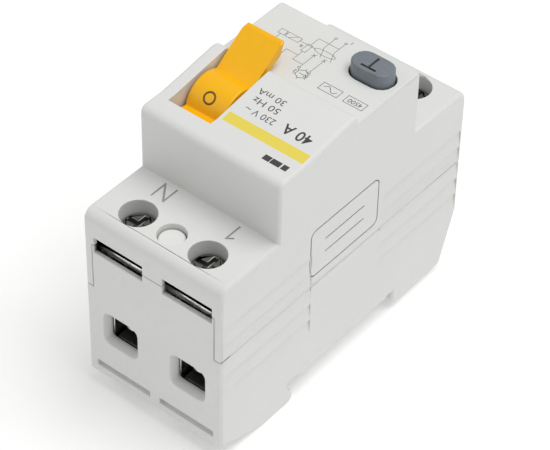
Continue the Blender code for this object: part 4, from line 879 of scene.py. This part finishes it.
handle = softened("toggleHandle", "toggle_handle", "amber", toggle["cornerRadius"], 30, 4)
finishPiece(evenShading(handle), "toggle", "toggle", "toggle_handle")
finishPiece(toggleMarks(), "toggle", "toggle")
print("toggle done")


# ---- test button with a sunk letter, and the status flag in two colours

button = {
    "cornerRadius": 0.3,
    "letterDepth": 0.45,
    "bar": ((-1.6, 0.0), (1.6, 0.0)),
    "stem": ((0.0, 0.0), (0.0, 3.3)),
    "stroke": 0.55,
}


def testButton():
    cap = meshFrom("buttonBlank", cadShape("test_button"), "slate", "slateShadow")
    centre = middle("test_button")
    cutter = bmesh.new()
    place = onFlat(centre.x, centre.y - 1.75, high("test_button").z) @ Matrix.Rotation(math.pi, 4, "Z")
    for name in ("bar", "stem"):
        addLine(cutter, button[name], button["stroke"], button["letterDepth"], place)
    # the cutter's faces carry the near-black into the cap: painted shadow inside the sunk T
    carve(cap, meshFrom("letterCutter", cutter, "slateShadow"))
    shape = shapeOf(cap)
    roundEdges(shape, button["cornerRadius"], 30, 3)
    cap = meshFrom("testButton", shape, "slate", "slateShadow")
    return finishPiece(evenShading(cap), "test_button", "button", "test_button")


def statusFlag():
    shape = cadShape("status_flag")
    roundEdges(shape, 0.12, 30, 2)
    split = middle("status_flag").y - 1.6
    geometry = shape.verts[:] + shape.edges[:] + shape.faces[:]
    bmesh.ops.bisect_plane(shape, geom=geometry, plane_co=(0, split * mm, 0), plane_no=(0, 1, 0))
    for face in shape.faces:
        face.material_index = int(face.calc_center_median().y < split * mm)
    flag = meshFrom("statusFlag", shape, "green", "red")
    return finishPiece(evenShading(flag), "status_flag", "flag", "status_flag")


testButton()
statusFlag()
print("button and flag done")


# ---- geometry node trees for what repeats or follows a rule


def growTree(name, inputs):
    tree = bpy.data.node_groups.new(name, "GeometryNodeTree")
    tree.is_modifier = True
    tree.interface.new_socket("Geometry", in_out="INPUT", socket_type="NodeSocketGeometry")
    for label, socketType in inputs:
        tree.interface.new_socket(label, in_out="INPUT", socket_type=socketType)
    tree.interface.new_socket("Geometry", in_out="OUTPUT", socket_type="NodeSocketGeometry")
    return tree, tree.nodes.new("NodeGroupInput").outputs, tree.nodes.new("NodeGroupOutput").inputs


def endTree(tree, geometry, material, gives):
    smooth = addNode(tree, "GeometryNodeSetShadeSmooth", {"Geometry": geometry})
    real = addNode(tree, "GeometryNodeRealizeInstances", {"Geometry": smooth.outputs["Geometry"]})
    painted = addNode(
        tree, "GeometryNodeSetMaterial", {"Geometry": real.outputs["Geometry"], "Material": material}
    )
    tree.links.new(painted.outputs["Geometry"], gives["Geometry"])
    return tree


def coilTree():
    # wire wound in a helix along +Z from the origin
    floats = ("Turns", "Radius", "Height", "Wire Radius")
    tree, given, gives = growTree(
        "coilTree", [(label, "NodeSocketFloat") for label in floats] + [("Finish", "NodeSocketMaterial")]
    )
    line = addNode(
        tree, "GeometryNodeCurveSpiral",
        {
            "Resolution": 24, "Rotations": given["Turns"], "Start Radius": given["Radius"],
            "End Radius": given["Radius"], "Height": given["Height"],
        },
    )
    section = addNode(
        tree, "GeometryNodeCurvePrimitiveCircle", {"Resolution": 10, "Radius": given["Wire Radius"]}
    )
    wire = addNode(
        tree, "GeometryNodeCurveToMesh",
        {"Curve": line.outputs["Curve"], "Profile Curve": section.outputs["Curve"], "Fill Caps": True},
    )
    return endTree(tree, wire.outputs["Mesh"], given["Finish"], gives)


def coreWindingTree():
    # wire wound round a ring that lies in the XZ plane
    floats = ("Turns", "Ring Radius", "Half Depth", "Half Width", "Wire Radius", "Start", "Sweep")
    labels = [(label, "NodeSocketFloat") for label in floats] + [
        ("Count", "NodeSocketInt"), ("Finish", "NodeSocketMaterial")
    ]
    tree, given, gives = growTree("coreWindingTree", labels)
    line = addNode(tree, "GeometryNodeMeshLine", {"Count": given["Count"]})
    index = tree.nodes.new("GeometryNodeInputIndex").outputs["Index"]
    share = calc(tree, "DIVIDE", index, given["Count"])
    around = calc(tree, "MULTIPLY_ADD", share, given["Sweep"], given["Start"])
    turn = calc(tree, "MULTIPLY", calc(tree, "MULTIPLY", share, given["Turns"]), 2 * math.pi)
    radius = calc(tree, "MULTIPLY_ADD", calc(tree, "COSINE", turn), given["Half Width"], given["Ring Radius"])
    spot = addNode(
        tree, "ShaderNodeCombineXYZ",
        {
            "X": calc(tree, "MULTIPLY", radius, calc(tree, "COSINE", around)),
            "Y": calc(tree, "MULTIPLY", calc(tree, "SINE", turn), given["Half Depth"]),
            "Z": calc(tree, "MULTIPLY", radius, calc(tree, "SINE", around)),
        },
    )
    placed = addNode(
        tree, "GeometryNodeSetPosition", {"Geometry": line.outputs["Mesh"], "Position": spot.outputs[0]}
    )
    path = addNode(tree, "GeometryNodeMeshToCurve", {"Mesh": placed.outputs["Geometry"]})
    section = addNode(
        tree, "GeometryNodeCurvePrimitiveCircle", {"Resolution": 8, "Radius": given["Wire Radius"]}
    )
    wire = addNode(
        tree, "GeometryNodeCurveToMesh",
        {"Curve": path.outputs["Curve"], "Profile Curve": section.outputs["Curve"], "Fill Caps": True},
    )
    return endTree(tree, wire.outputs["Mesh"], given["Finish"], gives)


def solderTree():
    # a solder cone on every vertex of the mesh that comes in
    tree, given, gives = growTree(
        "solderTree",
        [("Foot Radius", "NodeSocketFloat"), ("Height", "NodeSocketFloat"), ("Finish", "NodeSocketMaterial")],
    )
    tip = calc(tree, "MULTIPLY", given["Foot Radius"], 0.3)
    cone = addNode(
        tree, "GeometryNodeMeshCone",
        {
            "Vertices": 14, "Side Segments": 3, "Radius Top": tip, "Radius Bottom": given["Foot Radius"],
            "Depth": given["Height"],
        },
    )
    points = addNode(tree, "GeometryNodeMeshToPoints", {"Mesh": given["Geometry"]})
    spots = addNode(
        tree, "GeometryNodeInstanceOnPoints",
        {"Points": points.outputs["Points"], "Instance": cone.outputs["Mesh"]},
    )
    return endTree(tree, spots.outputs["Instances"], given["Finish"], gives)


trees = {build.__name__: build() for build in (coilTree, coreWindingTree, solderTree)}


def grown(name, treeName, finish, values, points=(), place=Matrix.Identity(4)):
    # runs a tree once and keeps the result as a plain mesh in its place
    start = bpy.data.meshes.new(name)
    start.from_pydata([tuple(Vector(p) * mm) for p in points], [], [])
    made = bpy.data.objects.new(name, start)
    bpy.context.scene.collection.objects.link(made)
    modifier = made.modifiers.new(treeName, "NODES")
    modifier.node_group = trees[treeName]
    keys = {
        item.name: item.identifier for item in trees[treeName].interface.items_tree if item.in_out == "INPUT"
    }
    modifier[keys["Finish"]] = finishes[finish]
    for label, value in values.items():
        modifier[keys[label]] = value
    settle(made)
    made.data.name = name
    made.data.transform(place)
    return made


# along +Z, +Y or +X
axisTurns = {
    "z": Matrix.Identity(4), "y": Matrix.Rotation(-math.pi / 2, 4, "X"),
    "x": Matrix.Rotation(math.pi / 2, 4, "Y"),
}

coils = {
    # name: node, body, axis, coil radius, wire radius, turns, squash joint, fixed end, share kept
    "contactSpring_n": ("contact_spring_n", "carrier", "z", 1.6, 0.22, 3.0, "contact_n_lift", "high", 0.66),
    "contactSpring_l": ("contact_spring_l", "carrier", "z", 1.6, 0.22, 3.0, "contact_l_lift", "high", 0.66),
    "buttonSpring": ("button_spring", "housing", "z", 2.3, 0.25, 4.0, "test_button_press", "low", 0.67),
    "plungerSpring": ("plunger_spring", "housing", "y", 1.75, 0.2, 3.5, None, "low", 1.0),
    "latchSpring": ("latch_spring", "housing", "y", 0.65, 0.2, 6.0, "latch_slide", "high", 0.56),
}


def bodyOf(node):
    return next(name for name, nodes in frame["record"]["behaviour"]["bodies"].items() if node in nodes)


def coilSpring(name):
    node, body, axis, radius, wire, turns, joint, fixed, keep = coils[name]
    along = "xyz".index(axis)
    start = middle(node)
    start[along] = low(node)[along] + wire
    length = high(node)[along] - low(node)[along] - 2 * wire
    values = {"Turns": turns, "Radius": radius * mm, "Height": length * mm, "Wire Radius": wire * mm}
    made = grown(
        name, "coilTree", "springSteel", values, place=Matrix.Translation(start * mm) @ axisTurns[axis]
    )
    finishPiece(made, bodyOf(node), "steel", node)
    if joint:
        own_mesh(made)
    return made


for name in coils:
    coilSpring(name)


def windings():
    ring = middle("toroid_core")
    wire = 0.24
    values = {
        "Turns": 40.0, "Ring Radius": 7.5 * mm, "Half Depth": 4.25 * mm, "Half Width": 2.65 * mm,
        "Wire Radius": wire * mm, "Start": math.radians(120), "Sweep": math.radians(300), "Count": 40 * 20,
    }
    core = grown("secondaryWinding", "coreWindingTree", "enamel", values, place=Matrix.Translation(ring * mm))
    finishPiece(core, "housing", "copper", "secondary_winding")

    node = "relay_winding"
    radius = (high(node).x - low(node).x) / 2
    wire = 0.13
    length = high(node).y - low(node).y - 2 * wire
    place = Matrix.Translation(
        Vector((middle(node).x, low(node).y + wire, middle(node).z)) * mm
    ) @ axisTurns["y"]
    turns = length / (2.1 * wire)
    values = {"Turns": turns, "Radius": (radius - wire) * mm, "Height": length * mm, "Wire Radius": wire * mm}
    relay = grown("relayWinding", "coilTree", "enamel", values, place=place)
    finishPiece(relay, "housing", "copper", node)


windings()


# ---- terminals: clamp box, threaded screw, pressure foot and strap for each pole at each end

lip = {"halfX": 5.7, "thick": 0.35, "low": 33.9, "high": 36.4, "face": 38.3}


def busbarLip(end, pole):
    # bright tab of the clamp box that stands in the busbar slot
    node = f"terminal_box_{end}_{pole}"
    side = 1 if middle(node).y > 0 else -1
    front = high(node).y if side > 0 else -low(node).y
    shape = bmesh.new()
    x = middle(node).x
    upright = Vector((x, side * lip["face"], (lip["low"] + lip["high"]) / 2)) * mm
    addBlock(shape, (2 * lip["halfX"], lip["thick"], lip["high"] - lip["low"]), Matrix.Translation(upright))
    tab = Vector((x, side * (lip["face"] + front) / 2, high(node).z - lip["thick"] / 2 - 0.1)) * mm
    addBlock(shape, (lip["halfX"], lip["face"] - front + 0.4, lip["thick"]), Matrix.Translation(tab))
    made = meshFrom(f"busbarLip_{end}_{pole}", shape, "nickel")
    return finishPiece(made, "housing", "nickel")


clamp = {
    "boxCorner": 0.25,
    "strapCorner": 0.2,
    "headCorner": 0.2,
    "shankRadius": 2.5,
    "threadPitch": 0.8,
    "threadDepth": 0.28,
    "underHead": 38.0,
}
caseScrew = {"shankRadius": 1.4, "threadPitch": 1.1, "threadDepth": 0.32, "underHead": 38.2}


def addLathe(shape, profile, sides, place, material=0):
    # closed solid of revolution about the place's Z
    # the profile lists (radius, height) from one pole to the other

    rings = []
    for radius, height in profile:
        if radius < 1e-6:
            rings.append([shape.verts.new(place @ Vector((0, 0, height * mm)))])
            continue
        angles = [2 * math.pi * i / sides for i in range(sides)]
        flat = [(radius * mm * math.cos(a), radius * mm * math.sin(a)) for a in angles]
        rings.append([shape.verts.new(place @ Vector((x, y, height * mm))) for x, y in flat])
    for first, last in zip(rings, rings[1:]):
        for i in range(sides):
            j = (i + 1) % sides
            corners = [first[i % len(first)], first[j % len(first)], last[j % len(last)], last[i % len(last)]]
            face = shape.faces.new(list(dict.fromkeys(corners)))
            face.material_index = material
    for ring in (rings[0], rings[-1]):
        if len(ring) > 2:
            face = shape.faces.new(ring)
            face.material_index = material


def addThread(shape, place, radius, depth, pitch, length, sides=24):
    # threaded rod along +Z: the ridge climbs one pitch for each turn
    steps = round(length / pitch * 6)
    rings = []
    for step in range(steps + 1):
        height = length * step / steps
        ring = []
        for i in range(sides):
            phase = (height / pitch - i / sides) % 1.0
            ridge = 1.0 - abs(2.0 * phase - 1.0)
            reach = (radius - depth * ridge) * mm
            angle = 2 * math.pi * i / sides
            spot = Vector((reach * math.cos(angle), reach * math.sin(angle), height * mm))
            ring.append(shape.verts.new(place @ spot))
        rings.append(ring)
    for first, last in zip(rings, rings[1:]):
        for i in range(sides):
            j = (i + 1) % sides
            shape.faces.new((first[i], first[j], last[j], last[i]))
    shape.faces.new(rings[0])
    shape.faces.new(rings[-1])


def threadedScrew(name, node, body, material, slot, radius, pitch, depth, underHead, tip):
    # head from the CAD solid, shank with a real thread
    shape = cadShape(node)
    head = [v for v in shape.verts if v.co.z / mm < underHead - 0.01]
    bmesh.ops.delete(shape, geom=head, context="VERTS")
    rim = [e for e in shape.edges if e.is_boundary]
    if rim:
        bmesh.ops.contextual_create(shape, geom=rim)
    roundEdges(shape, clamp["headCorner"], 40, 2)
    centre = middle(node)
    place = Matrix.Translation(Vector((centre.x, centre.y, tip)) * mm)
    addThread(shape, place, radius, depth, pitch, underHead - tip + 0.4)
    screw = meshFrom(name, shape, material)
    return finishPiece(evenShading(screw, 40), body, slot, node)


def pressureFoot(tag):
    # cupped foot: a dished disc with a turned-down rim that grips the wire
    node = f"pressure_foot_{tag}"
    lowest, highest, centre = low(node), high(node), middle(node)
    radius = (highest.x - lowest.x) / 2
    top, base = highest.z, lowest.z
    profile = [
        (0.0, base + 0.35), (radius - 1.1, base + 0.35), (
            radius - 0.75, base + 0.15
        ), (radius - 0.6, base - 1.35),
        (radius - 0.35, base - 1.5), (radius - 0.12, base - 1.38), (radius, base - 1.1), (radius, top - 0.3),
        (radius - 0.3, top), (1.2, top), (0.9, top - 0.2), (0.0, top - 0.2),
    ]
    shape = bmesh.new()
    addLathe(shape, profile, 40, Matrix.Translation(Vector((centre.x, centre.y, 0)) * mm))
    foot = meshFrom(f"pressureFoot_{tag}", shape, "nickel")
    return finishPiece(evenShading(foot, 40), bodyOf(node), "nickel", node)


for end in ends:
    for pole in poles:
        tag = f"{end}_{pole}"
        box = softened(f"clampBox_{tag}", f"terminal_box_{tag}", "nickel", clamp["boxCorner"], 30, 3)
        finishPiece(evenShading(box), "housing", "nickel", f"terminal_box_{tag}")
        node = f"terminal_screw_{tag}"
        busbarLip(end, pole)
        threadedScrew(
            f"clampScrew_{tag}", node, bodyOf(node), "darkSteel", "dark_steel", clamp["shankRadius"],
            clamp["threadPitch"], clamp["threadDepth"], clamp["underHead"], low(node).z,
        )
        pressureFoot(tag)
        strap = softened(f"strap_{tag}", f"strap_{tag}", "darkSteel", clamp["strapCorner"], 30, 2)
        finishPiece(evenShading(strap), "housing", "copper", f"strap_{tag}")
    node = f"case_screw_{end}"
    threadedScrew(
        f"caseScrew_{end}", node, "housing", "zinc", "steel", caseScrew["shankRadius"],
        caseScrew["threadPitch"], caseScrew["threadDepth"], caseScrew["underHead"], low(node).z,
    )
print("terminals done")


# ---- mechanism: plain pieces keep the CAD shape with their corners broken

plainPieces = {
    # name: node, finish, corner radius, slot
    "railLatch": ("rail_latch", "darkPlastic", 0.2, "dark_plastic"),
    "togglePin": ("toggle_pin", "zinc", 0.15, "steel"),
    "driveLink": ("drive_link", "zinc", 0.06, "steel"),
    "contactCarrier": ("contact_carrier", "darkPlastic", 0.25, "dark_plastic"),
    "relayFrame": ("relay_frame", "zinc", 0.15, "steel"),
    "relayBobbin": ("relay_bobbin", "black", 0.12, "black"),
    "tripPlunger": ("trip_plunger", "zinc", 0.12, "steel"),
    "tripLever": ("trip_lever", "darkPlastic", 0.2, "dark_plastic"),
    "tripPin": ("trip_pin", "zinc", 0.12, "steel"),
    "sidePlateInner": ("side_plate_inner", "zinc", 0.12, "steel"),
    "sidePlateOuter": ("side_plate_outer", "zinc", 0.12, "steel"),
    "toroidCore": ("toroid_core", "ferrite", 0.3, "ferrite"),
    "testBracket": ("test_bracket", "darkPlastic", 0.2, "dark_plastic"),
    "testBlade": ("test_blade", "copper", 0.1, "copper"),
    "thyristor": ("thyristor", "black", 0.2, "black"),
}

for name, (node, material, radius, slot) in plainPieces.items():
    made = softened(name, node, material, radius, 30, 3)
    finishPiece(evenShading(made), bodyOf(node), slot, node)


def contactPiece(name, node):
    # copper bar or strap, silver in the height band where its contact pads stand
    shape = cadShape(node)
    roundEdges(shape, 0.12, 30, 2)
    made = meshFrom(name, shape, "copper", "silver")
    spots = {
        "moving": (low(node).z, low(node).z + 0.85), "middle": (high(node).z - 0.85, high(node).z)
    }[name[:6]]
    for face in made.data.polygons:
        height = face.center.z / mm
        if spots[0] - 0.05 < height < spots[1] + 0.05:
            face.material_index = 1
    return finishPiece(evenShading(made), bodyOf(node), "copper", node)


for pole in poles:
    contactPiece(f"movingContact_{pole}", f"moving_contact_{pole}")
    contactPiece(f"middleStrap_{pole}", f"middle_strap_{pole}")


def smoothWire(name, node, finish, slot, radius, points, sides=12):
    # round wire through chosen points, bent smoothly
    curve = bpy.data.curves.new(name, "CURVE")
    curve.dimensions = "3D"
    curve.bevel_depth = radius * mm
    curve.bevel_resolution = 4
    curve.use_fill_caps = True
    curve.resolution_u = sides
    spline = curve.splines.new("NURBS")
    spline.points.add(len(points) - 1)
    spline.use_endpoint_u = True
    spline.order_u = 4
    for spot, point in zip(spline.points, points):
        spot.co = (*(Vector(point) * mm), 1.0)
    drawn = bpy.data.objects.new(name + "Line", curve)
    bpy.context.scene.collection.objects.link(drawn)
    mesh = evaluatedMesh(drawn)
    bpy.data.objects.remove(drawn)
    made = newObject(name, mesh, finish)
    mesh.shade_smooth()
    finishPiece(made, "housing", slot, *([node] if node else []))
    return made


def primaryConductor(pole):
    node = f"primary_conductor_{pole}"
    side = poles[pole]
    start, stop = low(node), high(node)
    innerX = min(abs(start.x), abs(stop.x)) + 1.05
    z0, z1, z2 = 16.6, 15.5, 13.6
    y0, y1 = start.y, stop.y
    run = [
        (9.0, y0, z0), (9.0, y0 + 1.4, z0), (8.4, y0 + 2.4, z0),
        (innerX + 1.2, y0 + 3.6, z1 + 0.2), (innerX, y0 + 4.9, z1), (innerX, 13.5, z1),
        (innerX, y1 - 4.9, z1), (innerX + 1.2, y1 - 3.6, z1 - 0.3),
        (8.4, y1 - 2.4, z2), (9.0, y1 - 1.4, z2), (9.0, y1, z2),
    ]
    points = [(side * x, y, z) for x, y, z in run]
    return smoothWire(
        f"primaryConductor_{pole}", node, {"n": "blueSleeve", "l": "brownSleeve"}[pole],
        {"n": "blue", "l": "brown"}[pole], 1.04, points,
    )


for pole in poles:
    primaryConductor(pole)


def toggleSpring():
    # torsion spring on the toggle's pin, with two straight legs
    node = "toggle_spring"
    lowest, highest = low(node), high(node)
    pivot = toggle["pivot"]
    startX, stopX = lowest.x + 0.2, highest.x - 0.2
    points = [(startX, pivot[0] + 1.75, pivot[1] - 4.0), (startX, pivot[0] + 1.75, pivot[1] - 2.0)]
    for i in range(49):
        angle = 2 * math.pi * i / 16
        x = startX + (stopX - startX) * i / 48
        points.append((x, pivot[0] + 1.75 * math.cos(angle), pivot[1] + 1.75 * math.sin(angle)))
    points += [(stopX, pivot[0] + 1.75, pivot[1] + 1.0), (stopX, pivot[0] + 1.75, pivot[1] + 2.2)]
    return smoothWire("toggleSpring", node, "springSteel", "steel", 0.2, points, 6)


toggleSpring()
print("mechanism done")


# ---- electronics on the board

board = {"corner": 0.15, "padRadius": 0.9, "jointHeight": 0.6}


def leadWire(name, points, radius=0.3):
    return smoothWire(name, None, "solder", "steel", radius, points, 8)


def electronics():
    plate = softened("circuitBoard", "circuit_board", "board", board["corner"], 30, 2)
    finishPiece(evenShading(plate), "housing", "board", "circuit_board")
    underside = low("circuit_board").z
    topside = high("circuit_board").z
    legs = {
        "capacitor": [(-12.2, 11.0), (-8.8, 11.0)],
        "thyristor": [(-3.8, 16.0), (-2.5, 16.0), (-1.2, 16.0)],
        "varistor": [(-3.6, 9.0), (0.6, 9.0)],
        "gateResistor": [(-14.2, 17.6), (-6.8, 17.6)],
        "testResistor": [(3.0, 8.3), (14.0, 8.3)],
        "relay": [(7.0, 17.4), (10.0, 17.4), (-6.2, 7.4)],
    }
    spots = [(x, y, underside + 0.05) for group in legs.values() for x, y in group]
    values = {"Foot Radius": board["padRadius"] * mm, "Height": board["jointHeight"] * mm}
    turn = Matrix.Translation((0, 0, 2 * underside * mm)) @ Matrix.Diagonal((1, 1, -1, 1))
    joints = grown("solderJoints", "solderTree", "solder", values, spots)
    joints.data.transform(turn)
    joints.data.flip_normals()
    finishPiece(joints, "housing", "steel")

    for name, node in (("gateResistor", "gate_resistor"), ("testResistor", "test_resistor")):
        lowest, highest, centre = low(node), high(node), middle(node)
        radius = (highest.z - lowest.z) / 2
        length = highest.x - lowest.x
        profile = [
            (0.0, 0.0), (radius * 0.6, 0.02), (radius * 0.92, 0.25), (radius, 0.7), (radius * 0.96, 1.2)
        ]
        profile += [(radius * 0.88, 1.5), (radius * 0.88, length - 1.5)]
        profile += [(r, length - h) for r, h in reversed(profile[:5])]
        shape = bmesh.new()
        place = Matrix.Translation(Vector((lowest.x, centre.y, centre.z)) * mm) @ axisTurns["x"]
        addLathe(shape, profile, 28, place)
        for i, band in enumerate((0.16, 0.36, 0.5, 0.64)):
            along = length * band
            reach = radius * (0.97 if i == 0 and along < 1.5 else 0.905)
            strip = [
                (0.0, along), (reach, along), (reach, along + length * 0.07), (0.0, along + length * 0.07)
            ]
            addLathe(shape, strip, 28, place, 1 + i % 3)
        body = meshFrom(name, shape, "resistorBody", "bandBrown", "bandRed", "bandGold")
        finishPiece(evenShading(body, 40), "housing", "resistor", node)
        for i, (x, y) in enumerate(legs[name]):
            inward = 1 if i == 0 else -1
            end = lowest.x if i == 0 else highest.x
            points = [
                (end + inward * 0.3, y, centre.z), (x + inward * 0.3, y, centre.z), (x, y, centre.z - 0.3),
                (x, y, topside - 0.1),
            ]
            leadWire(f"{name}Lead{i + 1}", points, 0.28)

    node = "capacitor"
    lowest, highest, centre = low(node), high(node), middle(node)
    radius = (highest.x - lowest.x) / 2
    tall = highest.z - lowest.z
    profile = [
        (0.0, 0.0), (radius - 0.5, 0.0), (radius - 0.15, 0.12), (radius, 0.4), (radius, 0.9),
        (radius - 0.28, 1.25), (radius - 0.28, 1.55), (radius, 1.9), (radius, tall - 0.5),
        (radius - 0.15, tall - 0.15), (radius - 0.55, tall),
    ]
    shape = bmesh.new()
    place = Matrix.Translation(Vector((centre.x, centre.y, lowest.z)) * mm)
    addLathe(shape, profile + [(radius - 0.6, tall - 0.12), (0.0, tall - 0.12)], 40, place)
    addLathe(
        shape,
        [(0.0, tall - 0.3), (radius - 0.62, tall - 0.3), (radius - 0.62, tall - 0.1), (0.0, tall - 0.1)], 40,
        place, 1,
    )
    can = meshFrom("capacitor", shape, "canSleeve", "zinc")
    finishPiece(evenShading(can, 40), "housing", "capacitor", node)

    node = "varistor"
    lowest, highest, centre = low(node), high(node), middle(node)
    radius = (highest.z - lowest.z) / 2
    half = (highest.y - lowest.y) / 2
    profile = [(0.0, -half)] + [
        (
            radius - half + half * math.cos(a), half * math.sin(a)
        ) for a in (math.radians(-80 + 20 * i) for i in range(9))
    ] + [(0.0, half)]
    shape = bmesh.new()
    addLathe(shape, profile, 36, Matrix.Translation(centre * mm) @ Matrix.Rotation(-math.pi / 2, 4, "X"))
    disc = meshFrom("varistor", shape, "blueCoat")
    finishPiece(evenShading(disc, 60), "housing", "blue", node)
    for group in ("capacitor", "thyristor", "varistor"):
        base = low(group).z
        for i, (x, y) in enumerate(legs[group]):
            reach = base + (1.2 if group == "varistor" else 0.3)
            leadWire(
                f"{group}Lead{i + 1}", [(x, y, reach), (x, y, (reach + topside) / 2), (x, y, topside - 0.1)],
                0.26,
            )
    print("electronics done:", len(spots), "solder joints")


electronics()


# ---- floor, light and camera

studio = {
    "floorSize": 3.0,
    "floorColour": (0.93, 0.93, 0.925),
    "floorGlow": 0.2,
    "worldLight": 0.4,
    "keyPower": 3.2,
    "fillPower": 0.5,
}


def floorAndLight():
    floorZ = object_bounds()[0].z
    half = studio["floorSize"] / 2
    shape = bmesh.new()
    square = ((-half, -half), (half, -half), (half, half), (-half, half))
    corners = [shape.verts.new((x, y, floorZ)) for x, y in square]
    shape.faces.new(corners)
    mesh = bpy.data.meshes.new("floor")
    shape.to_mesh(mesh)
    shape.free()
    floor = bpy.data.objects.new("floor", mesh)
    bpy.context.scene.collection.objects.link(floor)
    pale = bpy.data.materials.new("paleFloor")
    pale.use_nodes = True
    shader = pale.node_tree.nodes["Principled BSDF"]
    shader.inputs["Base Color"].default_value = (*studio["floorColour"], 1.0)
    shader.inputs["Roughness"].default_value = 0.8
    shader.inputs["Emission Color"].default_value = (1.0, 1.0, 1.0, 1.0)
    shader.inputs["Emission Strength"].default_value = studio["floorGlow"]
    mesh.materials.append(pale)

    world = bpy.data.worlds.new("studioWorld")
    bpy.context.scene.world = world
    world.use_nodes = True
    background = world.node_tree.nodes["Background"]
    background.inputs["Color"].default_value = (1.0, 1.0, 1.0, 1.0)
    background.inputs["Strength"].default_value = studio["worldLight"]

    lamps = (
        ("keyLight", (0.2, 0.1, 0.7), 0.5, studio["keyPower"]),
        ("fillLight", (-0.5, -0.45, 0.4), 0.6, studio["fillPower"]),
    )
    for name, place, size, power in lamps:
        light = bpy.data.lights.new(name, "AREA")
        light.shape = "SQUARE"
        light.size = size
        light.energy = power
        lamp = bpy.data.objects.new(name, light)
        lamp.location = place
        lamp.rotation_mode = "QUATERNION"
        lamp.rotation_quaternion = (Vector(place) - Vector((0, 0, 0.03))).to_track_quat("Z", "Y")
        bpy.context.scene.collection.objects.link(lamp)


viewpoint = {
    "place": (0.23009, -0.29093, 0.37238),
    "azimuth": 38.44,
    "elevation": 43.38,
    "roll": 1.359,
    "lens": 159.96,
    "sensor": 36.0,
}


def aimCamera():
    azimuth, elevation, roll = (math.radians(viewpoint[key]) for key in ("azimuth", "elevation", "roll"))
    reach = math.cos(elevation)
    back = Vector((math.sin(azimuth) * reach, -math.cos(azimuth) * reach, math.sin(elevation)))
    level = Vector((math.cos(azimuth), math.sin(azimuth), 0.0))
    upright = level.cross(-back)
    right = math.cos(roll) * level + math.sin(roll) * upright
    up = -math.sin(roll) * level + math.cos(roll) * upright
    data = bpy.data.cameras.new("camera")
    data.sensor_width = viewpoint["sensor"]
    data.lens = viewpoint["lens"]
    data.clip_start = 0.01
    data.clip_end = 10.0
    camera = bpy.data.objects.new("camera", data)
    turned = Matrix((right, up, back)).transposed()
    camera.matrix_world = Matrix.Translation(viewpoint["place"]) @ turned.to_4x4()
    bpy.context.scene.collection.objects.link(camera)
    bpy.context.scene.camera = camera


floorAndLight()
aimCamera()
bpy.context.scene.view_settings.view_transform = "Standard"

print("object measured")
